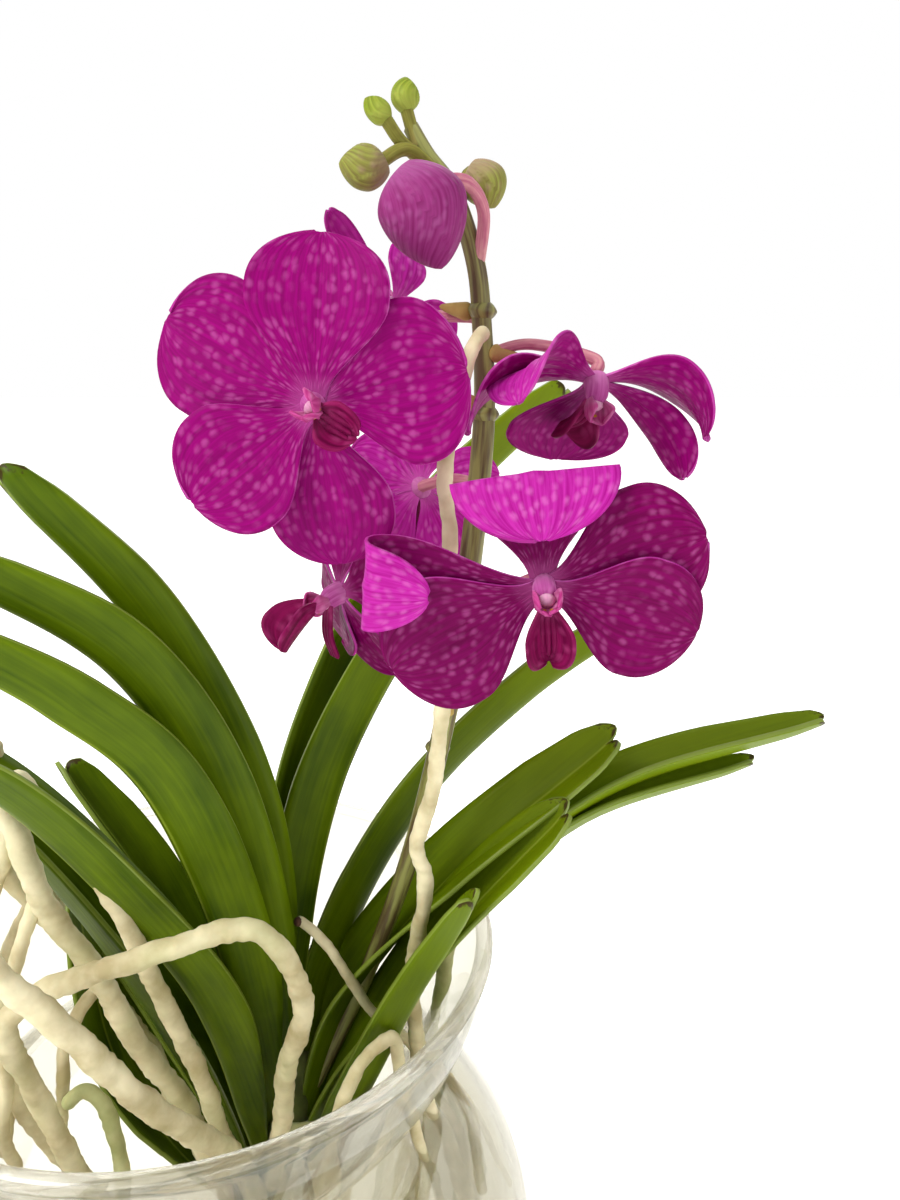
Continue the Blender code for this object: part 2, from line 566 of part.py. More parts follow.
def tepal_grid(bloom, tepal, rows, columns):
    """Points of one tepal, in millimetres."""
    angle, length, width, pitch, curl, cup, twist, fold_at = tepal
    right, top, ahead = bloom_frame(bloom["facing"], bloom["up"])
    turn = np.radians(angle)
    out = np.cos(turn) * right + np.sin(turn) * top
    across = -np.sin(turn) * right + np.cos(turn) * top
    along = np.linspace(0, 1, rows)
    fine = np.linspace(0, 1, FINE_STATIONS)
    share = np.clip((fine - fold_at) / FOLD_SPAN + 0.5, 0, 1) if fold_at else fine**1.3
    tilt = np.radians(pitch + curl * share)
    step = length / (FINE_STATIONS - 1)
    flat = np.concatenate([[0], np.cumsum(step * np.cos(tilt[1:]))])
    rise = np.concatenate([[0], np.cumsum(step * np.sin(tilt[1:]))])
    grid = np.zeros((rows, columns, 3))
    for i, s in enumerate(along):
        lean = np.interp(s, fine, tilt)
        centre = (np.asarray(bloom["centre"]) + 1.0 * out + np.interp(s, fine, flat) * out
                  + np.interp(s, fine, rise) * ahead)
        normal = -np.sin(lean) * out + np.cos(lean) * ahead
        roll = np.radians(twist) * s
        side = np.cos(roll) * across + np.sin(roll) * normal
        face = -np.sin(roll) * across + np.cos(roll) * normal
        wide = 0.5 * width * np.interp(s, TEPAL_ALONG, TEPAL_WIDE)
        for j, v in enumerate(np.linspace(-1, 1, columns)):
            grid[i, j] = centre + wide * v * side + cup * wide * v * v * face
    return grid


def make_bloom(name, bloom):
    """The tepals and column of one bloom as one solid, its lip, and its stalk."""
    right, top, ahead = bloom_frame(bloom["facing"], bloom["up"])
    centre = np.asarray(bloom["centre"], float)
    pieces = [ball("column", centre + COLUMN_AHEAD * ahead, COLUMN_RADII, ahead, 6, 5)]
    for number, tepal in enumerate(bloom["tepals"]):
        grid = tepal_grid(bloom, tepal, TEPAL_ROWS, TEPAL_COLUMNS)
        pieces.append(sheet(f"tepal_{number}", grid, TEPAL_THICKNESS))
    petals = fuse(name + "_petals", pieces)
    angle, length, width, pitch = bloom["lip"]
    lip_bloom = {"centre": centre + LIP_AHEAD * ahead, "facing": bloom["facing"], "up": bloom["up"]}
    lip_grid = tepal_grid(lip_bloom, (angle, length, width, pitch, LIP_CURL, LIP_CUP, 0, 0), 5, 4)
    lip = sheet(name + "_lip", lip_grid, LIP_THICKNESS)
    clear_of(lip, [petals])
    points = [bloom["spike_at"], bloom["bend"], centre - 7 * ahead, centre - 2 * ahead]
    radii = np.linspace(STALK_BASE_RADIUS, STALK_TOP_RADIUS, STALK_STATIONS)
    stalk = tube(name + "_stalk", smooth_route(points, STALK_STATIONS), radii, 5)
    return petals, lip, stalk


def make_bud(name, centre, radii, tip, route):
    egg = ball(name, centre, radii, tip, 8, 6)
    end = np.asarray(centre, float) - 0.4 * radii[2] * unit(tip)
    stalk = tube("stalk", smooth_route(route + [tuple(end)], 6), [BUD_STALK_RADIUS] * 6, 5)
    return fuse(name, [egg, stalk])


def clear_scene():
    for thing in list(bpy.data.objects):
        bpy.data.objects.remove(thing)


def make_stem():
    share = np.linspace(0, 1, len(STEM_RADII))
    radii = np.interp(np.linspace(0, 1, STEM_STATIONS), share, STEM_RADII)
    return tube("stem", smooth_route(STEM_POINTS, STEM_STATIONS), radii, STEM_SIDES)


def main():
    clear_scene()
    vase = make_vase()
    paint(vase, "vase")
    placed = [vase]

    def place(thing, kind):
        clear_of(thing, placed)
        placed.append(thing)
        paint(thing, kind)

    place(make_stem(), "stem")
    place(make_spike(), "flower_spike")
    for name, bloom in BLOOMS.items():
        petals, lip, stalk = make_bloom(name, bloom)
        place(petals, "petals")
        place(lip, "lip")
        place(stalk, "stalk")
    for name, (centre, radii, tip, route) in BUDS.items():
        place(make_bud(name, centre, radii, tip, route), "bud")
    for seed, (name, (points, start, end)) in enumerate(ROOTS.items()):
        place(make_root(name, points, start, end, seed), "root")
    for name, leaf in LEAVES.items():
        place(make_leaf(name, *leaf), "leaf")


main()
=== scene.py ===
import math

import bpy
import numpy as np
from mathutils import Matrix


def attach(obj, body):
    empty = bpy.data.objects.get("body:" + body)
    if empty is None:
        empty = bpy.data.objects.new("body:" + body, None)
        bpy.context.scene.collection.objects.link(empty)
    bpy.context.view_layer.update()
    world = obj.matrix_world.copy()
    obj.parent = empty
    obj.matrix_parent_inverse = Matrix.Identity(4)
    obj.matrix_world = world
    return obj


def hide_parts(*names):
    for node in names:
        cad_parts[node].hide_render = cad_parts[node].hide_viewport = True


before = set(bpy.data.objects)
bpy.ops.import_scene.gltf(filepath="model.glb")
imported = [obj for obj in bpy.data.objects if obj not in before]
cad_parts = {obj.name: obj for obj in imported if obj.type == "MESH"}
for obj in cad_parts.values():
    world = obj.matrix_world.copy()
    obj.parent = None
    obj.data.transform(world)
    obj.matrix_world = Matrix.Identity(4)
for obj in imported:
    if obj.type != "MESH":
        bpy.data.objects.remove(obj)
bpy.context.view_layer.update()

MM = 0.001

# Camera
# A phone held in front of the plant and a little above the rim, with its wide lens.
# The picture is 900 by 1200, and the lens is 27 mm on a 36 mm tall sensor.
SENSOR_HEIGHT = 36
LENS_LENGTH = 27.03
CAMERA_PLACE = (0.0921, -0.2878, 0.4561)
LOOKS_DOWN_DEG = 14.32
camera_data = bpy.data.cameras.new("camera")
camera_data.sensor_fit = "VERTICAL"
camera_data.sensor_height = SENSOR_HEIGHT
camera_data.lens = LENS_LENGTH
camera_data.clip_start = 0.02
camera = bpy.data.objects.new("camera", camera_data)
camera.location = CAMERA_PLACE
camera.rotation_euler = (math.radians(90 - LOOKS_DOWN_DEG), 0, 0)
bpy.context.scene.collection.objects.link(camera)
bpy.context.scene.camera = camera
bpy.context.scene.view_settings.view_transform = "Standard"
bpy.context.scene.cycles.use_denoising = True


def linear(hex_colour):
    """An sRGB hex colour as linear values with alpha."""
    channels = [int(hex_colour[i:i + 2], 16) / 255 for i in (1, 3, 5)]
    return [c / 12.92 if c <= 0.04045 else ((c + 0.055) / 1.055) ** 2.4 for c in channels] + [1.0]


def add_node(tree, kind, settings=None, inputs=None, links=None):
    """One node with its settings, its fixed inputs and the sockets that feed it."""
    node = tree.nodes.new(kind)
    for name, value in (settings or {}).items():
        setattr(node, name, value)
    for name, value in (inputs or {}).items():
        node.inputs[name].default_value = value
    for name, socket in (links or {}).items():
        tree.links.new(socket, node.inputs[name])
    return node


# Studio
# White paper under and behind, a broad soft light high on the left, a weaker one on the right.
# The room beyond is greyer than the paper, which gives the clear glass its edges.
PAPER_SIDE = 30
PAPER_DROP = 0.0004
PAPER_GLOW = 0.7
# Brightness of the room towards the horizon and overhead
HORIZON_LIGHT, OVERHEAD_LIGHT = 0.34, 0.80
# Each light: name, place, aim, side in metres and power in watts
LAMPS = (("key", (-0.9, -0.8, 1.6), (0.05, 0, 0.35), 0.8, 27),
         ("fill", (1.3, -0.7, 0.9), (0.05, 0, 0.3), 0.9, 4),
         ("back", (0.2, 1.3, 1.2), (0.05, 0, 0.3), 1.2, 7))

bpy.ops.object.select_all(action="DESELECT")
bpy.ops.mesh.primitive_plane_add(size=PAPER_SIDE, location=(0, 0, -PAPER_DROP))
floor = bpy.context.object
floor.name = "paper_floor"
paper = bpy.data.materials.new("white_studio_paper")
paper.use_nodes = True
paper_shader = paper.node_tree.nodes["Principled BSDF"]
paper_shader.inputs["Base Color"].default_value = linear("#F4F4F2")
paper_shader.inputs["Roughness"].default_value = 0.9
paper_shader.inputs["Emission Color"].default_value = (1, 1, 1, 1)
paper_shader.inputs["Emission Strength"].default_value = PAPER_GLOW
floor.data.materials.append(paper)

world = bpy.data.worlds.new("studio")
bpy.context.scene.world = world
world.use_nodes = True
room = world.node_tree
sight = add_node(room, "ShaderNodeLightPath")
direction = add_node(room, "ShaderNodeTexCoord")
height = add_node(room, "ShaderNodeSeparateXYZ", links={"Vector": direction.outputs["Generated"]})
ceiling = add_node(room, "ShaderNodeMapRange",
                   inputs={"From Min": 0.0, "From Max": 0.9,
                           "To Min": HORIZON_LIGHT, "To Max": OVERHEAD_LIGHT},
                   links={"Value": height.outputs["Z"]})
seen = add_node(room, "ShaderNodeMix", inputs={"B": 1.0},
                links={"Factor": sight.outputs["Is Camera Ray"], "A": ceiling.outputs["Result"]})
room.links.new(seen.outputs["Result"], room.nodes["Background"].inputs["Strength"])
room.nodes["Background"].inputs["Color"].default_value = (1, 1, 1, 1)

for lamp_name, place, aim, size, power in LAMPS:
    lamp = bpy.data.lights.new(lamp_name, "AREA")
    lamp.size = size
    lamp.energy = power
    stand = bpy.data.objects.new(lamp_name, lamp)
    stand.location = place
    away = np.array(place) - np.array(aim)
    flat = math.hypot(away[0], away[1])
    stand.rotation_euler = (math.atan2(flat, away[2]), 0, math.atan2(away[0], -away[1]))
    bpy.context.scene.collection.objects.link(stand)

# Vase
# A double-bulb vase of clear soda-lime glass, blown in a turned mould and fire-polished at the lip.
# It is one wall about 4 mm thick, on a flat foot, with a bowl-shaped collar over a sharp neck.
VASE_HEIGHT = 260.0
RIM_RADIUS = 106.5
NECK_RADIUS = 76.0
NECK_HEIGHT = 196.5
BELLY_RADIUS = 124.0
BELLY_HEIGHT = 123.0
FOOT_RADIUS = 72.0
# Half heights of the ellipses that the belly follows below and above its widest part
LOWER_BELLY = 152.0
UPPER_BELLY = 92.5
COLLAR_POWER = 1.9
WALL = 3.8
LIP_RADIUS = 3.4
LIP_HALF_WIDTH = 3.1
GLASS_FLOOR = 8.0
FOOT_ROUND = 12.0
TURNED_SIDES = 128
STRAIGHT_SHARE = 0.42

glass = bpy.data.materials.new("clear_soda_lime_glass")
glass.use_nodes = True
glass_shader = glass.node_tree.nodes["Principled BSDF"]
glass_shader.inputs["Base Color"].default_value = linear("#DEDCD2")
glass_shader.inputs["Transmission Weight"].default_value = 1.0
glass_shader.inputs["Roughness"].default_value = 0.0
glass_shader.inputs["IOR"].default_value = 1.45

# The wall is thin beside the vase, so much of the light passes it nearly straight
thin_wall = add_node(glass.node_tree, "ShaderNodeBsdfTransparent", inputs={"Color": linear("#E9E7DF")})
wall_mix = add_node(glass.node_tree, "ShaderNodeMixShader", inputs={0: STRAIGHT_SHARE},
                    links={1: glass_shader.outputs["BSDF"], 2: thin_wall.outputs["BSDF"]})
glass.node_tree.links.new(wall_mix.outputs["Shader"],
                          glass.node_tree.nodes["Material Output"].inputs["Surface"])

outside = [(FOOT_RADIUS + 3.0, 1.2)]
for z in np.linspace(4, BELLY_HEIGHT, 18):
    outside.append((BELLY_RADIUS * math.sqrt(1 - ((BELLY_HEIGHT - z) / LOWER_BELLY) ** 2), z))
for z in np.linspace(BELLY_HEIGHT + 5, NECK_HEIGHT - 0.8, 14):
    outside.append((BELLY_RADIUS * math.sqrt(1 - ((z - BELLY_HEIGHT) / UPPER_BELLY) ** 2), z))
for share in np.linspace(0.985, 0.07, 20):
    outside.append((NECK_RADIUS + (RIM_RADIUS - NECK_RADIUS) * (1 - share ** COLLAR_POWER),
                    VASE_HEIGHT - share * (VASE_HEIGHT - NECK_HEIGHT)))
lip = []
for turn in np.radians(np.linspace(8, 172, 11)):
    lip.append((RIM_RADIUS - 0.5 * WALL + LIP_HALF_WIDTH * math.cos(turn),
                VASE_HEIGHT - LIP_RADIUS + LIP_RADIUS * math.sin(turn)))
inside = [(radius - WALL, z) for radius, z in outside[::-1] if z > GLASS_FLOOR + 1]
profile = outside + lip + inside + [(FOOT_RADIUS - FOOT_ROUND, GLASS_FLOOR)]

bpy.ops.object.select_all(action="DESELECT")
bpy.ops.mesh.primitive_circle_add(vertices=TURNED_SIDES, radius=FOOT_RADIUS * MM, fill_type="NGON")
vase = bpy.context.object
vase.name = "glass_vase"
bpy.ops.object.mode_set(mode="EDIT")
bpy.ops.mesh.select_all(action="SELECT")
bpy.ops.mesh.flip_normals()
bpy.ops.mesh.select_mode(type="EDGE")
before = (FOOT_RADIUS, 0.0)
for radius, z in profile:
    bpy.ops.mesh.extrude_edges_move(TRANSFORM_OT_translate={"value": (0, 0, (z - before[1]) * MM)})
    bpy.ops.transform.resize(value=(radius / before[0], radius / before[0], 1),
                             center_override=(0, 0, z * MM))
    before = (radius, z)
bpy.ops.mesh.edge_face_add()
bpy.ops.mesh.select_all(action="SELECT")
bpy.ops.mesh.normals_make_consistent(inside=False)
bpy.ops.object.mode_set(mode="OBJECT")
bpy.ops.object.shade_smooth_by_angle(angle=math.radians(40))
vase.data.materials.append(glass)
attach(vase, "root")
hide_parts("vase")


# Leaves
# Sixteen leathery strap leaves, grown folded along the middle in two ranks, with bitten ends.
# Each is a grid of faces laid on the curve of its fold, then given the thickness of the blade.
def smooth_route(points, count):
    """Points at even spacing along a curve through the given ones."""
    p = np.asarray(points, float)
    p = np.vstack([2 * p[0] - p[1], p, 2 * p[-1] - p[-2]])
    t = np.linspace(0, 1, 12, endpoint=False)[:, None]
    spans = []
    for a, b, c, d in zip(p[:-3], p[1:-2], p[2:-1], p[3:]):
        spans.append(0.5 * (2 * b + (c - a) * t + (2 * a - 5 * b + 4 * c - d) * t**2
                            + (3 * b - a - 3 * c + d) * t**3))
    dense = np.vstack(spans + [p[-2]])
    along = np.concatenate([[0], np.cumsum(np.linalg.norm(np.diff(dense, axis=0), axis=1))])
    even = np.linspace(0, along[-1], count)
    return np.stack([np.interp(even, along, dense[:, k]) for k in range(3)], axis=1)


def unit(vector):
    return np.asarray(vector, float) / np.linalg.norm(vector)


def slope_of(path):
    step = np.gradient(path, axis=0)
    return step / np.linalg.norm(step, axis=1, keepdims=True)


def grid_piece(name, across, along, place, thickness, materials):
    """A grid primitive whose points go where place(v, s) says, in mm, made into a blade.
    v runs from -1 to 1 across and s from 0 to 1 along. The UV map holds millimetres."""
    bpy.ops.object.select_all(action="DESELECT")
    bpy.ops.mesh.primitive_grid_add(x_subdivisions=across, y_subdivisions=along, size=2)
    blade = bpy.context.object
    blade.name = name
    flat = np.array([tuple(point.co) for point in blade.data.vertices])
    where, on_blade = place(flat[:, 0], 0.5 * flat[:, 1] + 0.5)
    blade.data.vertices.foreach_set("co", (where * MM).ravel())
    corners = np.empty(len(blade.data.loops), int)
    blade.data.loops.foreach_get("vertex_index", corners)
    blade.data.uv_layers.active.data.foreach_set("uv", on_blade[corners].ravel())
    for material in materials:
        blade.data.materials.append(material)
    solidify = blade.modifiers.new("blade", "SOLIDIFY")
    solidify.thickness = thickness * MM
    solidify.offset = 0
    solidify.material_offset = 1 if len(materials) > 1 else 0
    solidify.material_offset_rim = 2 if len(materials) > 2 else 0
    bpy.ops.object.modifier_apply(modifier="blade")
    bpy.ops.object.shade_smooth()
    return blade


leaf_green = bpy.data.materials.new("living_vanda_leaf")
leaf_green.use_nodes = True
tree = leaf_green.node_tree
shader = tree.nodes["Principled BSDF"]
mm = add_node(tree, "ShaderNodeUVMap")
on_leaf = add_node(tree, "ShaderNodeSeparateXYZ", links={"Vector": mm.outputs["UV"]})
# Fine veins run the whole length, about one a millimetre
fibres = add_node(tree, "ShaderNodeMapping", inputs={"Scale": (0.9, 0.02, 1)},
                  links={"Vector": mm.outputs["UV"]})
fibre = add_node(tree, "ShaderNodeTexNoise", {"noise_dimensions": "2D"}, {"Scale": 1.0, "Detail": 3.0},
                 {"Vector": fibres.outputs["Vector"]})
patches = add_node(tree, "ShaderNodeMapping", inputs={"Scale": (0.05, 0.018, 1)},
                   links={"Vector": mm.outputs["UV"]})
patch = add_node(tree, "ShaderNodeTexNoise", {"noise_dimensions": "2D"}, {"Scale": 1.0, "Detail": 4.0},
                 {"Vector": patches.outputs["Vector"]})
tone = add_node(tree, "ShaderNodeMath", {"operation": "MULTIPLY_ADD"}, {1: 0.35},
                {0: fibre.outputs["Fac"], 2: patch.outputs["Fac"]})
green = add_node(tree, "ShaderNodeValToRGB", links={"Fac": tone.outputs["Value"]})
green.color_ramp.elements[0].position = 0.42
green.color_ramp.elements[0].color = linear("#344A00")
green.color_ramp.elements[1].position = 0.92
green.color_ramp.elements[1].color = linear("#647A00")
# Painted light: the leaves turn a brighter, yellower green towards the right of the plant, over the last 90
# mm, standing in for light shining through them
in_piece = add_node(tree, "ShaderNodeTexCoord")
sideways = add_node(tree, "ShaderNodeSeparateXYZ", links={"Vector": in_piece.outputs["Object"]})
painted_light_share = add_node(tree, "ShaderNodeMapRange", {"interpolation_type": "SMOOTHSTEP"},
                   {"From Min": 0.045, "From Max": 0.135, "To Min": 0.0, "To Max": 0.5},
                   {"Value": sideways.outputs["X"]})
with_painted_light = add_node(tree, "ShaderNodeMix", {"data_type": "RGBA"}, {"B": linear("#7F9208")},
                  {"Factor": painted_light_share.outputs["Result"], "A": green.outputs["Color"]})
# The middle fold is a paler line
from_middle = add_node(tree, "ShaderNodeMath", {"operation": "ABSOLUTE"}, links={0: on_leaf.outputs["X"]})
fold_line = add_node(tree, "ShaderNodeMapRange", {"interpolation_type": "SMOOTHSTEP"},
                     {"From Min": 0.9, "From Max": 0.2, "To Min": 0.0, "To Max": 0.5},
                     {"Value": from_middle.outputs["Value"]})
with_fold = add_node(tree, "ShaderNodeMix", {"data_type": "RGBA"}, {"B": linear("#9AAA3C")},
                     {"Factor": fold_line.outputs["Result"], "A": with_painted_light.outputs["Result"]})
# The last millimetres are scorched brown in a ragged line
ragged = add_node(tree, "ShaderNodeTexNoise", {"noise_dimensions": "2D"}, {"Scale": 0.5, "Detail": 3.0},
                  {"Vector": mm.outputs["UV"]})
burn_reach = add_node(tree, "ShaderNodeMath", {"operation": "MULTIPLY_ADD"}, {1: 9.0},
                      {0: ragged.outputs["Fac"], 2: on_leaf.outputs["Y"]})
burn = add_node(tree, "ShaderNodeMapRange", {"interpolation_type": "SMOOTHSTEP"},
                {"From Min": 2.6, "From Max": 4.4, "To Min": 0.0, "To Max": 0.9},
                {"Value": burn_reach.outputs["Value"]})
scorched = add_node(tree, "ShaderNodeMix", {"data_type": "RGBA"}, {"B": linear("#3A2710")},
                    {"Factor": burn.outputs["Result"], "A": with_fold.outputs["Result"]})
tree.links.new(scorched.outputs["Result"], shader.inputs["Base Color"])
shader.inputs["Roughness"].default_value = 0.45
shader.inputs["Specular IOR Level"].default_value = 0.12
shader.inputs["Subsurface Weight"].default_value = 0.15
shader.inputs["Subsurface Radius"].default_value = (0.4, 0.8, 0.1)
shader.inputs["Subsurface Scale"].default_value = 0.002
ribs = add_node(tree, "ShaderNodeBump", inputs={"Strength": 0.25, "Distance": 0.0003},
                links={"Height": fibre.outputs["Fac"]})
tree.links.new(ribs.outputs["Normal"], shader.inputs["Normal"])

# Each leaf: points along its fold from the stem to the tip, half width when unfolded, then in
# degrees the angle of a half blade from the fold's own plane and the roll, at base and tip
LEAVES = {
    "leaf_right_5": ([(38, -3, 157), (60, -19, 212), (79, -28, 257), (98, -34, 293)], 13, 26, 50, 0, 0),
    "leaf_right_4": ([(37, 4, 166), (65, -6, 225), (97, -10, 274), (130, -12, 312)], 16, 26, 62, 0, -34),
    "leaf_right_3": ([(35, 5, 172), (53, 4, 232), (92, 2, 283), (148, 4, 332)], 17, 26, 62, 0, -30),
    "leaf_right_1": ([(40, 8, 172), (83, 8, 249), (145, 10, 310), (224, 16, 334)], 14, 26, 50, 0, 0),
    "leaf_right_2": ([(42, 6, 168), (84, 7, 242), (135, 10, 297), (200, 16, 318)], 11, 26, 50, 0, 0),
    "leaf_left_3": ([(21, 3, 172), (20, -18, 259), (7, -42, 335), (-14, -58, 369), (-39, -70, 391)],
                    18, 26, 52, 0, -26),
    "leaf_left_4": ([(18, 0, 164), (13, -24, 247), (-8, -44, 305), (-34, -56, 345), (-64, -66, 366)],
                    17, 26, 48, 0, 0),
    "leaf_left_2": ([(23, 3, 178), (25, -10, 255), (16, -26, 327), (-3, -42, 377), (-38, -58, 407)],
                    19, 26, 52, 0, -26),
    "leaf_left_1": ([(25, 4, 184), (26, 0, 255), (22, -12, 320), (3, -30, 384), (-27, -44, 428)],
                    17, 26, 50, 0, -20),
    "leaf_left_5": ([(13, 8, 156), (0, 14, 217), (-22, 20, 268), (-52, 26, 311)], 16, 26, 48, 0, 0),
    "leaf_left_6": ([(12, 3, 150), (-6, -4, 215), (-30, -10, 270), (-58, -16, 316), (-76, -18, 334)],
                    16, 26, 48, 0, 0),
    "leaf_left_7": ([(10, 7, 142), (-18, 22, 190), (-50, 38, 237), (-86, 48, 288)], 16, 26, 48, 0, 0),
    "leaf_left_8": ([(1, 8, 133), (-19, 10, 161), (-39, 14, 200), (-50, 20, 263)], 24, 40, 66, 0, 0),
    "leaf_middle_1": ([(29, 8, 188), (30, 18, 261), (40, 30, 321), (78, 48, 394), (134, 64, 448)],
                      19, 30, 56, 20, 52),
    "leaf_middle_2": ([(31, 5, 184), (33, 7, 246), (47, 12, 309), (72, 14, 360), (92, 16, 383)],
                      18, 30, 56, 20, 52),
    "leaf_middle_3": ([(34, 7, 178), (43, 15, 236), (75, 27, 295), (121, 39, 338), (165, 49, 364)],
                      18, 30, 56, 10, 48),
}
LEAF_THICKNESS = 1.6
LEAF_STEPS = 120
# These soften the crease of the fold, and scale its rise to one at the margin
CREASE_SOFTNESS = 0.02
CREASE_LOW, CREASE_HIGH = 0.1414, 1.00995
LEAF_ALONG = [0.0, 0.12, 0.35, 0.6, 0.85, 0.96, 1.0]
LEAF_WIDE = [0.32, 0.62, 0.98, 1.0, 0.86, 0.66, 0.44]
leaf_edge = bpy.data.materials.new("leaf_margin")
leaf_edge.use_nodes = True
edge_space = add_node(leaf_edge.node_tree, "ShaderNodeTexCoord")
edge_noise = add_node(leaf_edge.node_tree, "ShaderNodeTexNoise", inputs={"Scale": 90.0},
                      links={"Vector": edge_space.outputs["Object"]})
edge_tone = add_node(leaf_edge.node_tree, "ShaderNodeMix", {"data_type": "RGBA"},
                     {"A": linear("#64780E"), "B": linear("#839430")}, {"Factor": edge_noise.outputs["Fac"]})
leaf_edge.node_tree.links.new(edge_tone.outputs["Result"],
                              leaf_edge.node_tree.nodes["Principled BSDF"].inputs["Base Color"])
leaf_edge.node_tree.nodes["Principled BSDF"].inputs["Roughness"].default_value = 0.5

for leaf_name, (points, half_width, fold_base, fold_tip, roll_base, roll_tip) in LEAVES.items():
    route = smooth_route(points, LEAF_STEPS + 1)
    ahead = slope_of(route)
    length = np.linalg.norm(np.diff(route, axis=0), axis=1).sum()
    outward = route[-1] - route[0]
    side = unit(np.cross((outward[0], outward[1], 0.0), (0, 0, 1)))
    inner = np.cross(side, ahead)
    inner /= np.linalg.norm(inner, axis=1, keepdims=True)
    level = np.cross(ahead, inner)

    def on_strap(v, s):
        index = np.clip((s * LEAF_STEPS).round().astype(int), 0, LEAF_STEPS)
        roll = np.radians(roll_base + (roll_tip - roll_base) * s)[:, None]
        fold = np.radians(fold_base + (fold_tip - fold_base) * np.minimum(1.0, 1.6 * s))
        wide = half_width * np.interp(s, LEAF_ALONG, LEAF_WIDE)
        a = np.cos(roll) * level[index] + np.sin(roll) * inner[index]
        b = -np.sin(roll) * level[index] + np.cos(roll) * inner[index]
        soft = (np.sqrt(v**2 + CREASE_SOFTNESS) - CREASE_LOW) / (CREASE_HIGH - CREASE_LOW)
        rise = wide * np.cos(fold) * (soft - 0.5)
        where = route[index] + rise[:, None] * b - (wide * np.sin(fold) * v)[:, None] * a
        lobe = np.sin(np.pi * np.abs(v) ** 0.8) * np.where(v < 0, 2.0, 4.2) - 1.5 * (1 - np.abs(v)) ** 3
        where = where + (lobe * np.clip((s - 0.9) / 0.1, 0, 1) ** 2)[:, None] * ahead[index]
        return where, np.stack([wide * v, (s - 1) * length], axis=1)

    leaf = grid_piece(leaf_name + "_blade", 12, 61, on_strap, LEAF_THICKNESS,
                      [leaf_green, leaf_green, leaf_edge])
    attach(leaf, "root")
    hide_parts(leaf_name)


# Roots
# Long bare aerial roots, each a green core in a spongy chalk-white coat that swells and pleats.
# Each is a closed ball with many rings, drawn out along the route of the root.
def route_piece(name, points, radius_at, segments, rings, material, sway=0.0, seed=0):
    """A ball primitive drawn out along a route in mm; radius_at(s, turn) gives mm."""
    bpy.ops.object.select_all(action="DESELECT")
    bpy.ops.mesh.primitive_uv_sphere_add(segments=segments, ring_count=rings, radius=1)
    body = bpy.context.object
    body.name = name
    path = smooth_route(points, rings + 1)
    ahead = slope_of(path)
    length = np.linalg.norm(np.diff(path, axis=0), axis=1).sum()
    sides = [unit(np.cross(ahead[0], (0.3, 1.0, 0.1)))]
    for direction in ahead[1:]:
        sides.append(unit(sides[-1] - direction * sides[-1].dot(direction)))
    sides = np.array(sides)
    others = np.cross(ahead, sides)
    ball = np.array([tuple(point.co) for point in body.data.vertices])
    s = np.arcsin(np.clip(ball[:, 2], -1, 1)) / np.pi + 0.5
    turn = np.arctan2(ball[:, 1], ball[:, 0])
    index = np.clip((s * rings).round().astype(int), 0, rings)
    rng = np.random.default_rng(seed)
    phases = rng.uniform(0, 2 * np.pi, 4)
    mm_along = s * length
    radius = radius_at(s, turn)
    end = np.minimum(mm_along, length - mm_along)
    cap = np.sqrt(np.clip(1 - (1 - np.clip(end / np.maximum(radius, 0.01), 0, 1)) ** 2, 0, 1))
    drift = sway * (np.sin(mm_along / 9 + phases[0])[:, None] * sides[index]
                    + np.sin(mm_along / 13 + phases[1])[:, None] * others[index])
    ring = np.cos(turn)[:, None] * sides[index] + np.sin(turn)[:, None] * others[index]
    where = path[index] + drift + (radius * cap)[:, None] * ring
    body.data.vertices.foreach_set("co", (where * MM).ravel())
    corners = np.empty(len(body.data.loops), int)
    body.data.loops.foreach_get("vertex_index", corners)
    on_body = np.stack([turn * radius, mm_along], axis=1)
    body.data.uv_layers.active.data.foreach_set("uv", on_body[corners].ravel())
    bpy.ops.object.mode_set(mode="EDIT")
    bpy.ops.mesh.select_all(action="SELECT")
    bpy.ops.mesh.normals_make_consistent(inside=False)
    bpy.ops.object.mode_set(mode="OBJECT")
    bpy.ops.object.shade_smooth()
    body.data.materials.append(material)
    return body


def join(first, rest):
    bpy.ops.object.select_all(action="DESELECT")
    for piece in rest:
        piece.select_set(True)
    first.select_set(True)
    bpy.context.view_layer.objects.active = first
    bpy.ops.object.join()
    return first


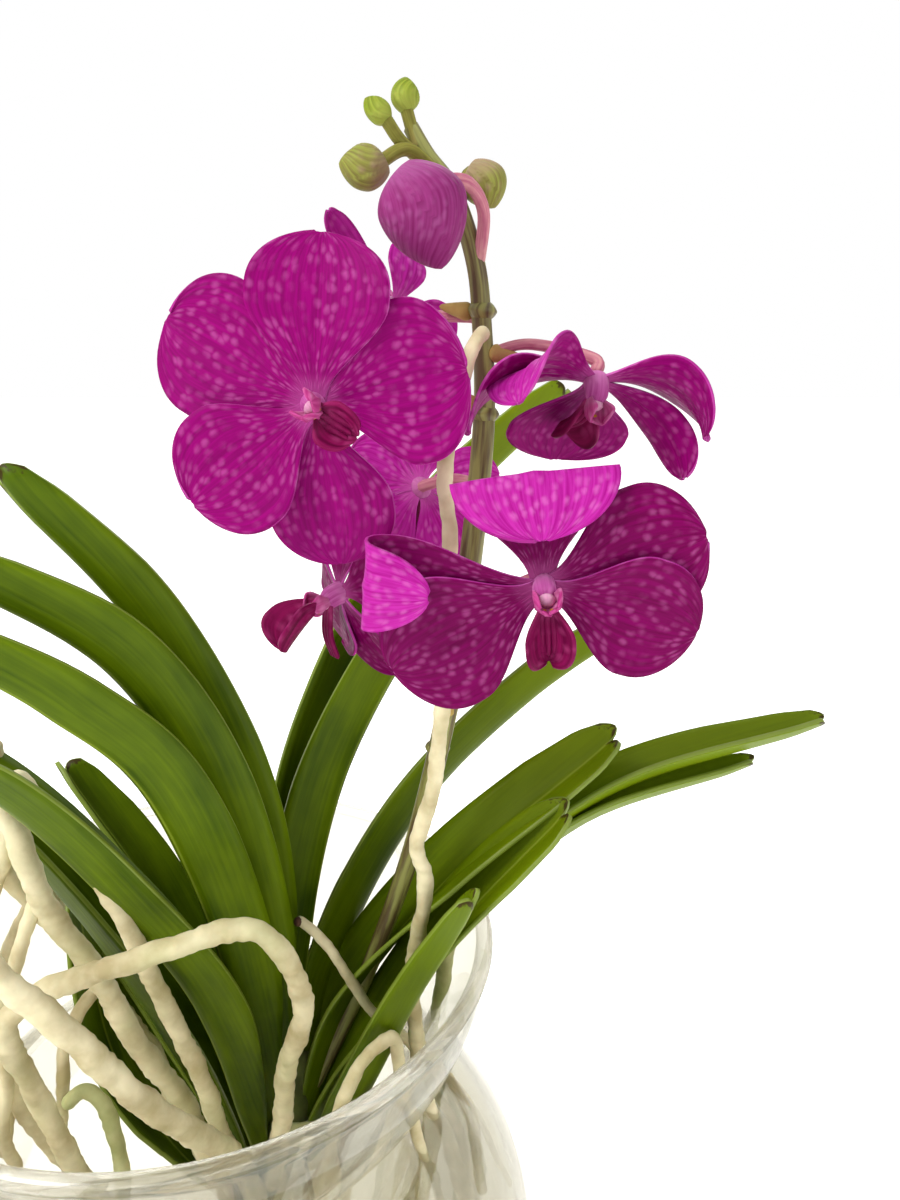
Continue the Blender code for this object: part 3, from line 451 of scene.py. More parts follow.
def root_coat(name, pale, shade, tint, tint_share):
    """The velamen of a root: chalky, with wrinkles, green or brown patches and specks."""
    coat = bpy.data.materials.new(name)
    coat.use_nodes = True
    tree = coat.node_tree
    shader = tree.nodes["Principled BSDF"]
    space = add_node(tree, "ShaderNodeTexCoord")
    blotch = add_node(tree, "ShaderNodeTexNoise", inputs={"Scale": 70.0, "Detail": 5.0},
                      links={"Vector": space.outputs["Object"]})
    cream = add_node(tree, "ShaderNodeValToRGB", links={"Fac": blotch.outputs["Fac"]})
    cream.color_ramp.elements[0].position = 0.34
    cream.color_ramp.elements[0].color = linear(shade)
    cream.color_ramp.elements[1].position = 0.62
    cream.color_ramp.elements[1].color = linear(pale)
    moss = add_node(tree, "ShaderNodeTexNoise", inputs={"Scale": 24.0, "Detail": 3.0},
                    links={"Vector": space.outputs["Object"]})
    moss_share = add_node(tree, "ShaderNodeMapRange",
                          inputs={"From Min": 0.5, "From Max": 0.72, "To Max": tint_share},
                          links={"Value": moss.outputs["Fac"]})
    tinted = add_node(tree, "ShaderNodeMix", {"data_type": "RGBA"}, {"B": linear(tint)},
                      {"Factor": moss_share.outputs["Result"], "A": cream.outputs["Color"]})
    tree.links.new(tinted.outputs["Result"], shader.inputs["Base Color"])
    shader.inputs["Roughness"].default_value = 0.75
    shader.inputs["Subsurface Weight"].default_value = 0.1
    shader.inputs["Subsurface Scale"].default_value = 0.002
    grain = add_node(tree, "ShaderNodeTexNoise", inputs={"Scale": 420.0, "Detail": 4.0},
                     links={"Vector": space.outputs["Object"]})
    rough = add_node(tree, "ShaderNodeBump", inputs={"Strength": 0.35, "Distance": 0.0006},
                     links={"Height": grain.outputs["Fac"]})
    tree.links.new(rough.outputs["Normal"], shader.inputs["Normal"])
    return coat


white_root = root_coat("dry_velamen", "#E6DBB4", "#B5A67A", "#9A9E5C", 0.5)
brown_root = root_coat("old_brown_velamen", "#B89C6C", "#84683E", "#5E4526", 0.6)
green_root = root_coat("green_velamen", "#C9C892", "#9A9C62", "#788638", 0.8)

# Each root: points from its base to its tip, radius at the base and at the tip, and its coat
ROOTS = {
    "root_upright": ([(60, 16, 60), (78, 6, 120), (85, -6, 172), (81, -14, 215), (79, -20, 245),
                      (81, -22, 270), (84, -24, 294), (82, -26, 307), (86, -30, 326), (88, -34, 346),
                      (91, -38, 365), (91, -40, 390), (92, -42, 413), (91, -44, 430), (93, -46, 443),
                      (95, -46, 454), (98, -44, 462), (102, -40, 466)], 3.4, 2.0, white_root),
    "root_kinked": ([(22, -2, 144), (28, -16, 166), (35, -30, 217), (45, -43, 257), (43, -49, 280),
                     (38, -52, 291), (33, -54, 296), (26, -56, 297), (12, -62, 296), (-4, -66, 292),
                     (-24, -68, 284), (-35, -68, 272), (-33, -62, 245), (-27, -60, 226), (-26, -50, 192)],
                    3.5, 3.2, white_root),
    "root_front": ([(14, 0, 112), (21, -20, 138), (25, -33, 170), (23, -52, 210), (15, -68, 238),
                    (4, -80, 263), (-6, -86, 282), (-15, -90, 299), (-26, -92, 315),
                    (-37, -90, 329)], 3.7, 3.6, white_root),
    "root_rounded_tip": ([(17, 0, 128), (15, -12, 156), (12, -24, 190), (8, -34, 227), (0, -42, 264),
                          (-8, -46, 298), (-22, -50, 326), (-32, -52, 346)], 3.3, 2.9, white_root),
    "root_tall": ([(9, 2, 110), (6, -8, 146), (1, -20, 190), (-12, -32, 238), (-23, -40, 275),
                   (-32, -44, 298), (-37, -46, 326), (-41, -46, 353)], 3.8, 3.6, white_root),
    "root_side": ([(10, 6, 116), (-2, 2, 150), (-8, -8, 186), (-15, -17, 224), (-23, -25, 251),
                   (-31, -31, 275), (-41, -34, 294), (-56, -38, 321)], 3.5, 3.0, white_root),
    "root_brown_tip": ([(70, 20, 90), (84, 10, 150), (80, 0, 203), (68, -6, 224), (56, -10, 247),
                        (46, -10, 262), (38, -10, 270)], 2.6, 1.7, white_root),
    "root_hooked": ([(30, -14, 120), (44, -24, 163), (52, -36, 196), (57, -41, 224), (64, -39, 238),
                     (73, -34, 241), (75, -28, 228), (75, -27, 215), (76, -22, 198)], 2.9, 2.0, white_root),
    "root_old_brown": ([(40, -14, 150), (51, -18, 178), (60, -24, 200), (67, -27, 210),
                        (71, -27, 216)], 2.8, 2.4, brown_root),
    "root_green": ([(64, 30, 80), (80, 20, 120), (85, 16, 160), (87, 15, 200),
                    (91, 14, 246)], 3.2, 3.0, green_root),
    "root_thin": ([(28, -6, 178), (43, -12, 184), (54, -15, 189)], 1.7, 1.5, green_root),
    "root_sprout": ([(0, -10, 130), (-14, -46, 170), (-14, -53, 212), (-16, -52, 229), (-23, -50, 236),
                     (-31, -47, 227)], 2.6, 2.4, green_root),
    "root_left_low": ([(4, -6, 120), (-24, -34, 165), (-40, -40, 205), (-52, -44, 232), (-66, -46, 262),
                       (-86, -44, 280)], 3.7, 3.4, white_root),
    "root_left_back": ([(8, 14, 124), (-22, 24, 165), (-48, 30, 215), (-60, 22, 252),
                        (-72, 12, 290)], 3.4, 3.0, white_root),
    "root_belly_left": ([(6, 2, 108), (-20, -16, 90), (-52, -34, 78), (-72, -30, 48),
                         (-58, -10, 13.2)], 4.0, 3.6, white_root),
    "root_belly_right": ([(18, 0, 112), (48, -20, 104), (84, -30, 84), (84, -24, 44),
                          (50, -14, 13.0)], 4.0, 3.6, white_root),
    "root_belly_front": ([(10, -2, 104), (4, -34, 84), (18, -66, 66), (30, -70, 34),
                          (24, -48, 12.6)], 3.8, 3.4, white_root),
    "root_belly_back": ([(14, 12, 106), (20, 44, 92), (40, 72, 70), (34, 62, 32),
                         (16, 38, 12.6)], 3.8, 3.4, white_root),
}
# Side roots that are grown fast to the root they are listed under
SIDE_ROOTS = {
    "root_side": [([(-40, -33, 292), (-52, -33, 272), (-55, -34, 249), (-54, -36, 230), (-57, -38, 212),
                    (-58, -40, 199)], 2.6, 2.0),
                  ([(-25, -26, 256), (-30, -34, 252), (-34, -40, 242), (-35, -41, 222), (-40, -38, 200)],
                   2.2, 1.9)],
    "root_tall": [([(-33, -44, 301), (-41, -46, 282), (-47, -48, 262), (-47, -50, 242), (-52, -50, 220),
                    (-50, -46, 200)], 2.4, 2.0),
                  ([(-38, -46, 328), (-46, -44, 306), (-56, -42, 286), (-62, -40, 264), (-66, -38, 244),
                    (-62, -36, 218)], 2.6, 2.2)],
    "root_green": [([(86, 16, 186), (93, 12, 180), (100, 8, 167), (103, 2, 154), (106, 0, 139)], 2.4, 2.0)],
    "root_hooked": [([(75, -28, 226), (77, -28, 213), (80, -26, 196), (84, -26, 176), (80, -22, 154)],
                     2.2, 1.8)],
}


ROOT_RING_STEP = 0.8
ROOT_SWAY = 0.6


def make_root(name, points, start, end, coat, seed):
    """One root with uneven swellings of about 9 mm and finer pleats, in a seeded pattern."""
    length = np.linalg.norm(np.diff(smooth_route(points, 60), axis=0), axis=1).sum()
    rng = np.random.default_rng(seed)
    phase = rng.uniform(0, 2 * np.pi, 6)

    def swelling(s, turn):
        at = s * length
        swing = 3.4 * np.sin(at / 6.3 + phase[0]) + 1.6 * np.sin(turn + at / 4.1 + phase[2])
        knob = 0.05 * np.sin(at / 1.5 + swing + phase[1])
        pleat = 0.02 * np.sin(at / 0.6 + 2 * np.sin(at / 5 + phase[2]) + 2 * turn + phase[3])
        lump = 0.06 * np.sin(turn * 2 + at / 3.7 + phase[4]) + 0.05 * np.sin(turn - at / 2.6 + phase[5])
        return (start + (end - start) * s) * (1.0 + knob + pleat + lump)

    rings = int(length / ROOT_RING_STEP)
    return route_piece(name, points, swelling, 16, rings, coat, ROOT_SWAY, seed)


# Two tips have died back to a brown end of about 3 mm, here a thin cap over the tip
BROWN_ENDS = ("root_brown_tip", "root_front")
dead_tip = root_coat("dead_root_tip", "#5E3A28", "#3E2418", "#7A5648", 0.8)
for seed, (root_name, (points, start, end, coat)) in enumerate(ROOTS.items()):
    root = make_root(root_name + "_velamen", points, start, end, coat, seed)
    for number, (side_points, side_start, side_end) in enumerate(SIDE_ROOTS.get(root_name, [])):
        branch = make_root("branch", side_points, side_start, side_end, white_root, 50 + number)
        root = join(root, [branch])
    if root_name in BROWN_ENDS:
        last = np.array(points[-1], float)
        along = unit(last - np.array(points[-2], float))
        dead_end = route_piece("dead_end", [last - 3.0 * along, last - 1.2 * along, last + 0.3 * along],
                               lambda s, turn: (end + 0.2) * (1 - 0.3 * s ** 3), 16, 12, dead_tip)
        root = join(root, [dead_end])
    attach(root, "root")
    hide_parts(root_name)

# Stem
# The short woody stem that the leaves clasp and the roots grow from, mostly hidden.
stem_bark = root_coat("stem_tissue", "#6F7A35", "#4C5522", "#5C4A26", 0.7)
STEM_POINTS = [(8, 6, 98), (14, 6, 125), (21, 5, 148), (28, 5, 170), (33, 5, 190), (35, 5, 203)]
STEM_RADII = [5.0, 7.0, 8.0, 8.0, 7.0, 4.5]
stem = route_piece("stem_core", STEM_POINTS,
                   lambda s, turn: np.interp(s, [0, 0.2, 0.4, 0.6, 0.8, 1], STEM_RADII), 24, 50, stem_bark)
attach(stem, "root")
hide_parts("stem")

# Flower spike
# A firm olive stalk as thick as a pencil, flushed purple-brown, with a ring at each joint and a
# dry bract at most stalks, drawn out along its curve like the roots.
spike_skin = bpy.data.materials.new("spike_skin")
spike_skin.use_nodes = True
tree = spike_skin.node_tree
shader = tree.nodes["Principled BSDF"]
mm = add_node(tree, "ShaderNodeUVMap")
streaks = add_node(tree, "ShaderNodeMapping", inputs={"Scale": (0.45, 0.03, 1)},
                   links={"Vector": mm.outputs["UV"]})
streak = add_node(tree, "ShaderNodeTexNoise", {"noise_dimensions": "2D"}, {"Scale": 1.0, "Detail": 4.0},
                  {"Vector": streaks.outputs["Vector"]})
olive = add_node(tree, "ShaderNodeValToRGB", links={"Fac": streak.outputs["Fac"]})
olive.color_ramp.elements[0].position = 0.38
olive.color_ramp.elements[0].color = linear("#58482A")
olive.color_ramp.elements[1].position = 0.62
olive.color_ramp.elements[1].color = linear("#92934E")
tree.links.new(olive.outputs["Color"], shader.inputs["Base Color"])
shader.inputs["Roughness"].default_value = 0.45

SPIKE_POINTS = [(38, 5, 184), (50, 3, 212), (65, 0, 250), (80, -8, 299), (91, -16, 349), (96, -21, 382),
                (100, -24, 417), (102, -25, 445), (101, -26, 469), (99, -27, 485), (93, -28, 502),
                (86, -29, 511), (81, -30, 519)]
SPIKE_RADII = [2.6, 2.9, 3.0, 3.1, 3.3, 3.4, 3.4, 3.5, 3.4, 3.2, 2.8, 2.5, 2.1]


def spike_radius(s, turn):
    """The radius between the listed ones, with three faint edges along the stalk."""
    return np.interp(s, np.linspace(0, 1, len(SPIKE_RADII)), SPIKE_RADII) * (1 + 0.04 * np.sin(3 * turn))


spike = route_piece("spike_stalk", SPIKE_POINTS, spike_radius, 20, 200, spike_skin)
SPIKE_JOINTS = [((88, -13, 336), 4.3), ((97, -22, 388), 4.4), ((100, -24, 419), 4.4), ((102, -25, 444), 4.5),
                ((101, -26, 472), 4.4)]
RING_HALF = 3.2
RING_LEAN = 0.3
for centre, radius in SPIKE_JOINTS:
    low = (centre[0] - RING_LEAN, centre[1], centre[2] - RING_HALF)
    high = (centre[0] + RING_LEAN, centre[1], centre[2] + RING_HALF)
    ring = route_piece("ring", [low, centre, high],
                       lambda s, turn: radius * (0.75 + 0.25 * np.sin(np.pi * s)), 20, 12, spike_skin)
    spike = join(spike, [ring])
# A dry pointed bract, given by its base and its tip, sheathes the base of a stalk
dry_bract = root_coat("dry_bract", "#B79C50", "#8C6A34", "#9A5A50", 0.8)
BRACTS = [((103, -26, 461), (113, -30, 459)), ((98.5, -26, 471.5), (89, -21, 473.5)),
          ((99, -27, 446), (94, -31, 450)), ((91, -17, 349), (93, -20, 358))]
for base, tip in BRACTS:
    middle = 0.5 * (np.array(base) + np.array(tip))
    bract = route_piece("bract", [base, middle, tip],
                        lambda s, turn: 2.7 * (1 - s) ** 0.7 + 0.3, 16, 16, dry_bract)
    spike = join(spike, [bract])
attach(spike, "root")
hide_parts("flower_spike")


# Blooms
# Six open blooms: five thin fleshy tepals on a short column, a small dark lip and a stalk.
# The tepals are netted in magenta round paler cells, and their backs are bright pink.
def petal_skin(name, dark, mid, pale, pale_share):
    """Petal tissue: rows of pale cells about 3 mm apart between finer dark veins."""
    skin = bpy.data.materials.new(name)
    skin.use_nodes = True
    tree = skin.node_tree
    shader = tree.nodes["Principled BSDF"]
    mm = add_node(tree, "ShaderNodeUVMap")
    wander = add_node(tree, "ShaderNodeTexNoise", {"noise_dimensions": "2D"}, {"Scale": 0.35, "Detail": 2.0},
                      {"Vector": mm.outputs["UV"]})
    shifted = add_node(tree, "ShaderNodeMix", {"data_type": "RGBA", "blend_type": "LINEAR_LIGHT"},
                       {"Factor": 0.6}, {"A": mm.outputs["UV"], "B": wander.outputs["Color"]})
    rows = add_node(tree, "ShaderNodeMapping", inputs={"Scale": (0.37, 0.28, 1)},
                    links={"Vector": shifted.outputs["Result"]})
    cells = add_node(tree, "ShaderNodeTexVoronoi", {"voronoi_dimensions": "2D"},
                     {"Scale": 1.0, "Randomness": 0.75}, {"Vector": rows.outputs["Vector"]})
    spot = add_node(tree, "ShaderNodeMapRange", {"interpolation_type": "SMOOTHSTEP"},
                    {"From Min": 0.48, "From Max": 0.05, "To Min": 0.0, "To Max": 1.0},
                    {"Value": cells.outputs["Distance"]})
    cloud = add_node(tree, "ShaderNodeTexNoise", {"noise_dimensions": "2D"}, {"Scale": 0.12, "Detail": 2.0},
                     {"Vector": mm.outputs["UV"]})
    cloud_share = add_node(tree, "ShaderNodeMapRange",
                           inputs={"From Min": 0.38, "From Max": 0.60, "To Min": 0.15, "To Max": 1.0},
                           links={"Value": cloud.outputs["Fac"]})
    spots = add_node(tree, "ShaderNodeMath", {"operation": "MULTIPLY"},
                     links={0: spot.outputs["Result"], 1: cloud_share.outputs["Result"]})
    faint = add_node(tree, "ShaderNodeMath", {"operation": "MULTIPLY"}, {1: pale_share},
                     {0: spots.outputs["Value"]})
    veins = add_node(tree, "ShaderNodeMapping", inputs={"Scale": (1.1, 0.06, 1)},
                     links={"Vector": mm.outputs["UV"]})
    vein = add_node(tree, "ShaderNodeTexNoise", {"noise_dimensions": "2D"}, {"Scale": 1.0, "Detail": 3.0},
                    {"Vector": veins.outputs["Vector"]})
    flush = add_node(tree, "ShaderNodeMapRange", inputs={"From Min": 0.3, "From Max": 0.7},
                     links={"Value": vein.outputs["Fac"]})
    base = add_node(tree, "ShaderNodeMix", {"data_type": "RGBA"}, {"A": linear(dark), "B": linear(mid)},
                    {"Factor": flush.outputs["Result"]})
    netted = add_node(tree, "ShaderNodeMix", {"data_type": "RGBA"}, {"B": linear(pale)},
                      {"Factor": faint.outputs["Value"], "A": base.outputs["Result"]})
    # The tissue pales towards the column, over the first 8 mm
    place = add_node(tree, "ShaderNodeSeparateXYZ", links={"Vector": mm.outputs["UV"]})
    near = add_node(tree, "ShaderNodeMapRange", {"interpolation_type": "SMOOTHSTEP"},
                    {"From Min": 8.0, "From Max": 0.5, "To Min": 0.0, "To Max": 0.55},
                    {"Value": place.outputs["Y"]})
    throat = add_node(tree, "ShaderNodeMix", {"data_type": "RGBA"}, {"B": linear(pale)},
                      {"Factor": near.outputs["Result"], "A": netted.outputs["Result"]})
    tree.links.new(throat.outputs["Result"], shader.inputs["Base Color"])
    shader.inputs["Roughness"].default_value = 0.5
    shader.inputs["Specular IOR Level"].default_value = 0.06
    shader.inputs["Subsurface Weight"].default_value = 0.12
    shader.inputs["Subsurface Radius"].default_value = (1.0, 0.2, 0.7)
    shader.inputs["Subsurface Scale"].default_value = 0.002
    quilt = add_node(tree, "ShaderNodeBump", inputs={"Strength": 0.35, "Distance": 0.0005},
                     links={"Height": spot.outputs["Result"]})
    tree.links.new(quilt.outputs["Normal"], shader.inputs["Normal"])
    return skin


petal_face = petal_skin("petal_face", "#780058", "#8E016A", "#BE5AA2", 0.38)
# A darker copy of the face material, painted shade for the blooms that stand out of the light
painted_shade_face = petal_skin("shaded_petal_face", "#620040", "#760052", "#AE5290", 0.44)
petal_back = petal_skin("petal_back", "#9C107E", "#B82A9C", "#D470BC", 0.42)
petal_edge = petal_skin("petal_margin", "#98207A", "#B03C94", "#CC74B6", 0.5)
lip_face = petal_skin("lip_tissue", "#5C0634", "#84124E", "#AC4078", 0.55)
lip_pale = petal_skin("side_lobe_tissue", "#9A2068", "#B84A88", "#D48AB4", 0.5)
column_skin = petal_skin("column_tissue", "#9E3A80", "#B85A9C", "#CC82B4", 0.4)
anther_skin = petal_skin("anther_cap", "#B8649A", "#CE86B0", "#E0B0C4", 0.4)
pollen_skin = petal_skin("pollinia", "#8A5418", "#B4762A", "#C89040", 0.3)
stalk_skin = petal_skin("stalk_tissue", "#B0607A", "#CC8F94", "#D8A89E", 0.3)

# Each tepal, counted in degrees from the bloom's right: angle, length, width, pitch, curl, cup,
# twist and the share of its length where it folds over (0 for none). A lip has the first four
# in the order angle, length, width and pitch. All lengths are in mm and angles in degrees.
BLOOMS = {
    "bloom_a": {
        "centre": (58.5, -58, 447.5), "facing": (-0.12, -0.99, 0.02), "up": (0, 0, 1),
        "tepals": [(86, 40, 36, 8, -22, 0.10, 0, 0), (13, 38, 40, 4, -18, 0.10, 0, 0),
                   (151, 43, 36, 2, -14, 0.10, 0, 0), (218, 39, 34, 12, -10, 0.08, 0, 0),
                   (277, 40, 33, -2, -8, 0.08, 0, 0)],
        "lip": (-32, 13, 11, 25), "spike_at": (101, -25, 446), "bend": (84, -34, 452),
    },
    "bloom_b": {
        "centre": (116, -64, 402.5), "facing": (0.02, -0.98, -0.15), "up": (0.03, -0.15, 0.98),
        "tepals": [(98, 47, 42, -12, 168, 0.0, 0, 0.62), (22, 41, 35, 2, 6, -0.10, -14, 0),
                   (178, 64, 24, 2, 168, 0.0, 0, 0.72), (211, 44, 38, 8, -10, 0.08, 0, 0),
                   (-14, 40, 33, 10, -8, 0.08, 0, 0)],
        "lip": (-84, 18, 12, 25), "spike_at": (97, -22, 390), "bend": (108, -38, 396),
    },
    "bloom_c": {
        "centre": (132, -34, 453), "fuller": 1.35, "facing": (0.05, -0.50, -0.86), "up": (0, -0.86, 0.5),
        "tepals": [(142, 38, 18, -20, 110, -0.2, 0, 0), (8, 38, 18, -8, 105, -0.2, 0, 0),
                   (172, 44, 15, -18, 98, -0.2, 0, 0), (252, 30, 28, 10, 20, 0.1, 0, 0),
                   (-30, 40, 11, 5, 80, -0.2, 0, 0)],
        "lip": (-120, 16, 12, 25), "spike_at": (101, -26, 460), "bend": (114, -29, 463),
    },
    "bloom_d": {
        "centre": (83, -3, 420), "facing": (-0.25, 0.93, -0.25), "up": (0.1, 0.25, 0.96),
        "tepals": [(88, 25, 22, 8, -20, 0.1, 0, 0), (16, 24, 26, 8, -10, 0.1, 0, 0),
                   (164, 26, 22, 8, -10, 0.1, 0, 0), (232, 27, 24, 8, -10, 0.1, 0, 0),
                   (-50, 26, 24, 8, -10, 0.1, 0, 0)],
        "lip": (-90, 12, 9, 25), "spike_at": (100, -22, 424), "bend": (93, -13, 424),
    },
    "bloom_e": {
        "centre": (59, -24, 391), "facing": (-0.80, -0.57, -0.20), "up": (-0.15, -0.1, 0.98),
        "tepals": [(92, 22, 18, -20, -20, 0.1, 0, 0), (18, 26, 22, -20, -20, 0.1, 0, 0),
                   (164, 22, 16, -10, -20, 0.1, 0, 0), (235, 24, 22, -5, -10, 0.1, 0, 0),
                   (-70, 31, 26, -10, -20, 0.1, 0, 0)],
        "lip": (-90, 21, 14, 78), "spike_at": (96, -20, 386), "bend": (76, -18, 398),
    },
    "bloom_f": {
        "centre": (75, -13, 473), "facing": (-0.35, 0.80, 0.30), "up": (0.1, -0.3, 0.94),
        "tepals": [(53, 33, 8, 10, -30, 0.1, 0, 0), (0, 20, 14, 10, -20, 0.1, 0, 0),
                   (118, 22, 13, 5, 75, 0.1, 0, 0), (200, 22, 15, 10, -20, 0.1, 0, 0),
                   (-60, 20, 15, 10, -20, 0.1, 0, 0)],
        "lip": (-100, 10, 8, 25), "spike_at": (101, -26, 470), "bend": (90, -18, 471),
    },
}


# Painted shade: blooms B, E and F get a darker copy of the face, for the light falling less on them
FACES = {"bloom_a": petal_face, "bloom_b": painted_shade_face, "bloom_c": petal_face, "bloom_d": petal_face,
         "bloom_e": painted_shade_face, "bloom_f": painted_shade_face}


def bloom_axes(bloom):
    ahead = unit(bloom["facing"])
    top = np.asarray(bloom["up"], float)
    top = unit(top - ahead * top.dot(ahead))
    return np.cross(top, ahead), top, ahead


def make_tepal(name, bloom, tepal, materials, seed, across=22, along=34, thickness=0.8, ruffle=0.7):
    """One tepal, from the same few numbers as its solid, with a rounder edge and a light ruffle."""
    angle, length, width, pitch, curl, cup, twist, fold_at = tepal
    width = width * bloom.get("fuller", 1.0)
    right, top, ahead = bloom_axes(bloom)
    out = math.cos(math.radians(angle)) * right + math.sin(math.radians(angle)) * top
    level = -math.sin(math.radians(angle)) * right + math.cos(math.radians(angle)) * top
    fine = np.linspace(0, 1, 200)
    share = np.clip((fine - fold_at) / 0.22 + 0.5, 0, 1) if fold_at else fine**1.3
    if fold_at:
        share = share * share * (3 - 2 * share)
    tilt = np.radians(pitch + curl * share)
    flat = np.concatenate([[0], np.cumsum(length / 199 * np.cos(tilt[1:]))])
    rise = np.concatenate([[0], np.cumsum(length / 199 * np.sin(tilt[1:]))])
    phase = np.random.default_rng(seed).uniform(0, 2 * np.pi, 4)

    def on_tepal(v, t):
        s = 1 - (1 - t) ** 1.35
        lean = np.interp(s, fine, tilt)[:, None]
        middle = (np.asarray(bloom["centre"]) + (1.0 + np.interp(s, fine, flat))[:, None] * out
                  + np.interp(s, fine, rise)[:, None] * ahead)
        normal = -np.sin(lean) * out + np.cos(lean) * ahead
        roll = np.radians(twist) * s[:, None]
        side = np.cos(roll) * level + np.sin(roll) * normal
        face = -np.sin(roll) * level + np.cos(roll) * normal
        widen = np.clip((s - 0.02) / 0.58, 0, 1)
        widen = widen * widen * (3 - 2 * widen)
        close = np.sqrt(np.clip(1 - (np.clip(s - 0.66, 0, 1) / 0.342) ** 2, 0.004, 1))
        wide = 0.5 * width * (0.16 + 0.84 * widen) * close
        wave = (np.abs(v) ** 2.5 * np.sin(9 * s + 2.2 * v + phase[0])
                + 0.4 * np.sin(5 * s + 3 * v + phase[1])) * ruffle * s
        groove = -0.5 * np.exp(-(v / 0.12) ** 2) * np.sin(np.pi * np.clip(s, 0, 1))
        lift = cup * wide * v * v + wave + groove
        where = middle + (wide * v)[:, None] * side + lift[:, None] * face
        return where, np.stack([0.5 * width * v + 200 * seed, s * length], axis=1)

    return grid_piece(name, across, along, on_tepal, thickness, materials)


for bloom_number, (bloom_name, bloom) in enumerate(BLOOMS.items()):
    right, top, ahead = bloom_axes(bloom)
    centre = np.asarray(bloom["centre"], float)
    tepals = []
    for number, tepal in enumerate(bloom["tepals"]):
        tepals.append(make_tepal("tepal", bloom, tepal, [petal_back, FACES[bloom_name], petal_edge],
                                10 * bloom_number + number))
    lip_angle, lip_length, lip_width, lip_pitch = bloom["lip"]
    droop = math.cos(math.radians(lip_angle)) * right + math.sin(math.radians(lip_angle)) * top
    column = route_piece("column",
                         [centre - 3 * ahead, centre + 2 * ahead, centre + 6.5 * ahead + 1.5 * droop],
                         lambda s, turn: 3.5 - 0.6 * s + 0.25 * np.cos(2 * turn), 20, 24, column_skin)
    cap = route_piece("cap", [centre + 4.8 * ahead, centre + 6.6 * ahead + 1.6 * droop,
                              centre + 7.6 * ahead + 2.6 * droop],
                      lambda s, turn: 2.4 + 0 * s, 18, 16, anther_skin)
    side = np.cross(ahead, droop)
    eyes = []
    for hand in (-1, 1):
        spot = centre + 8.9 * ahead + 3.0 * droop + hand * 1.0 * side
        eyes.append(route_piece("pollen", [spot - 0.6 * ahead, spot, spot + 0.5 * ahead],
                                lambda s, turn: 0.7 + 0 * s, 10, 8, pollen_skin))
    flower = join(tepals[0], tepals[1:] + [column, cap] + eyes)
    flower.name = bloom_name + "_tepals_and_column"
    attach(flower, "root")
    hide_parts(bloom_name + "_petals")

    lip_bloom = {"centre": centre + 3.5 * ahead, "facing": bloom["facing"], "up": bloom["up"]}
    tongue = make_tepal("tongue", lip_bloom, (lip_angle, lip_length, lip_width, lip_pitch, -40, 1.1, 0, 0),
                        [lip_face], 77 + bloom_number, 24, 24, 0.9, 1.1)
    lobes = []
    for hand in (-1, 1):
        lobes.append(make_tepal("side_lobe", lip_bloom, (lip_angle + hand * 58, 9, 8, 50, 70, 0.5, 0, 0),
                                [lip_pale], 90 + bloom_number, 10, 12, 0.7, 0.3))
    ridges = []
    for offset in (-1.6, 0, 1.6):
        start = centre + 4.6 * ahead + 1.5 * droop + offset * side
        ridges.append(route_piece("ridge", [start, start + 0.45 * lip_length * droop + 2.4 * ahead,
                                            start + 0.85 * lip_length * droop + 1.6 * ahead],
                                  lambda s, turn: 0.75 + 0.2 * np.sin(np.pi * s), 10, 20, lip_face))
    whole_lip = join(tongue, lobes + ridges)
    whole_lip.name = bloom_name + "_lip_tissue"
    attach(whole_lip, "root")
    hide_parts(bloom_name + "_lip")

    stalk = route_piece(bloom_name + "_pedicel",
                        [bloom["spike_at"], bloom["bend"], centre - 7 * ahead, centre - 2 * ahead],
                        lambda s, turn: 1.3 + 0.5 * s + 0.12 * np.sin(6 * turn), 18, 60, stalk_skin)
    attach(stalk, "root")
    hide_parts(bloom_name + "_stalk")

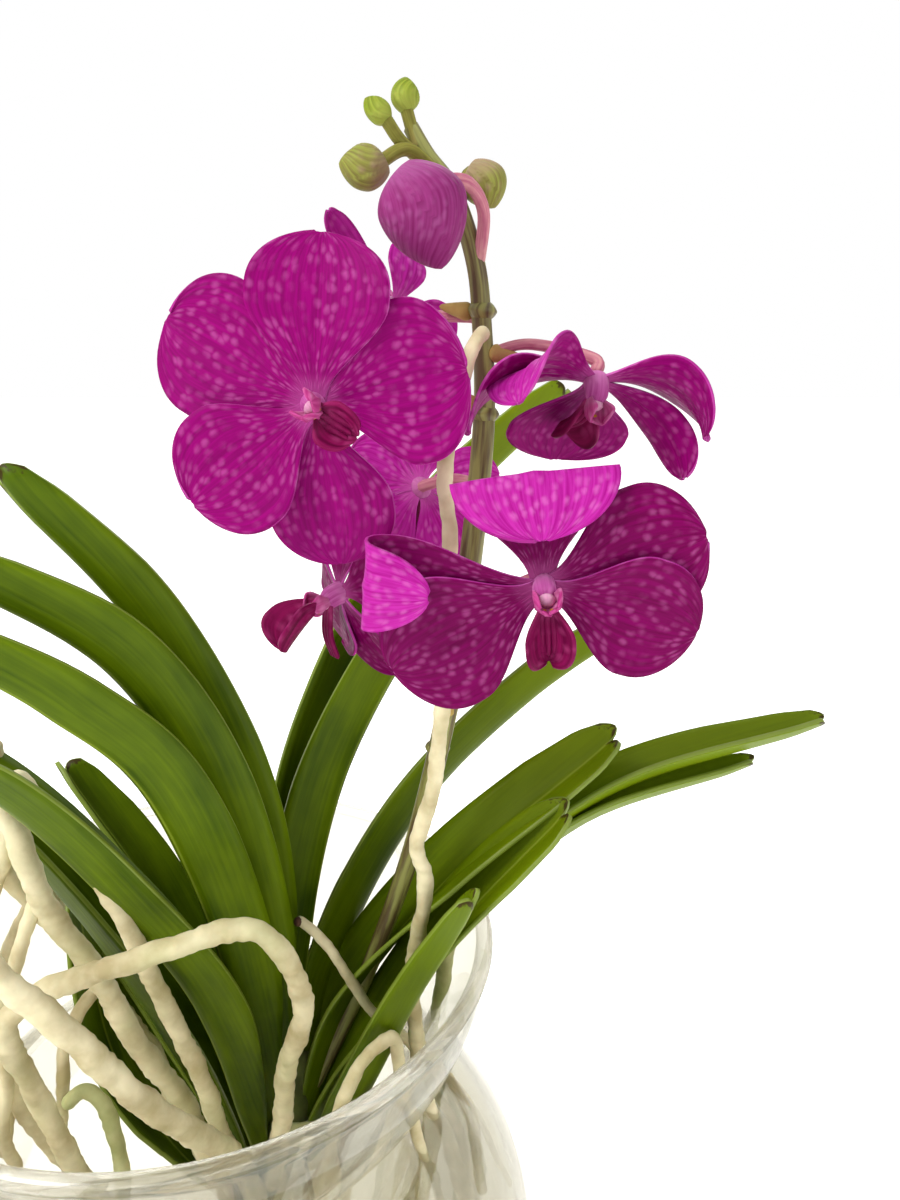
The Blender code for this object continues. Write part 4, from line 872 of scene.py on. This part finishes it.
# Buds
# Five closed buds on short stalks: a big magenta one whose tepals are about to part, and four
# hard green ones, ribbed where the edges of the tepals meet.
green_stalk = petal_skin("green_stalk_tissue", "#6E6A2E", "#8E8C42", "#A08C5C", 0.3)
green_bud = petal_skin("green_bud_skin", "#67761C", "#8C9A34", "#A8AE56", 0.3)
dusky_bud = petal_skin("dusky_bud_skin", "#77703A", "#8F9444", "#A8867A", 0.4)
opening_bud = petal_skin("opening_bud_skin", "#7A205C", "#8E3472", "#A85C94", 0.35)
# Each bud: centre, radii, the way its tip points, the route of its stalk and its skin
BUDS = {
    "bud_opening": ((86, -46, 493.5), (11.2, 10.6, 13.2), (0.30, 0.1, -0.95),
                    [(100, -27, 484), (101, -33, 496), (97, -39, 502), (91, -43, 502)], opening_bud),
    "bud_left": ((70.3, -38, 506), (5.6, 5.6, 6.6), (-0.85, -0.2, 0.1),
                 [(92, -29, 503), (82, -34, 511), (75, -37, 508)], dusky_bud),
    "bud_right": ((101.5, -26, 504.5), (6.2, 6.0, 6.6), (0.35, 0.1, -0.75),
                  [(98, -28, 488), (95, -26, 500), (97, -25, 507)], dusky_bud),
    "bud_top": ((80.5, -31, 524.5), (3.7, 3.7, 4.4), (0.05, 0, 1),
                [(84, -29.5, 512), (82.5, -30, 516), (81, -31, 521)], green_bud),
    "bud_green": ((73.5, -33, 520.5), (3.1, 3.1, 4.3), (-0.75, 0, 0.66),
                  [(84, -29, 510), (79, -32, 514), (76, -33, 518)], green_bud),
}
for bud_name, (centre, radii, tip, route, skin) in BUDS.items():
    axis = unit(tip)
    low = np.asarray(centre, float) - radii[2] * axis
    high = np.asarray(centre, float) + radii[2] * axis

    def bud_radius(s, turn):
        point = 0.30 if bud_name == "bud_opening" else 0.10
        egg = radii[0] * np.sqrt(np.clip(1 - (2 * s - 1) ** 2, 0, 1)) * (1 - point * (2 * s - 1))
        lapped = ((turn / (2 * np.pi) * 3 + 0.55 * s + 0.15) % 1.0) ** 3
        return egg * (0.95 + 0.08 * lapped + 0.02 * np.abs(np.sin(2.5 * turn - s)))

    bud = route_piece(bud_name + "_skin", [low, centre, high], bud_radius, 72, 48, skin)
    stalk = route_piece("stalk", route + [tuple(np.asarray(centre, float) - 0.4 * radii[2] * axis)],
                        lambda s, turn: 1.7 + 0.08 * np.sin(5 * turn), 18, 30,
                        stalk_skin if bud_name == "bud_opening" else green_stalk)
    bud = join(bud, [stalk])
    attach(bud, "root")
    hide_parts(bud_name)
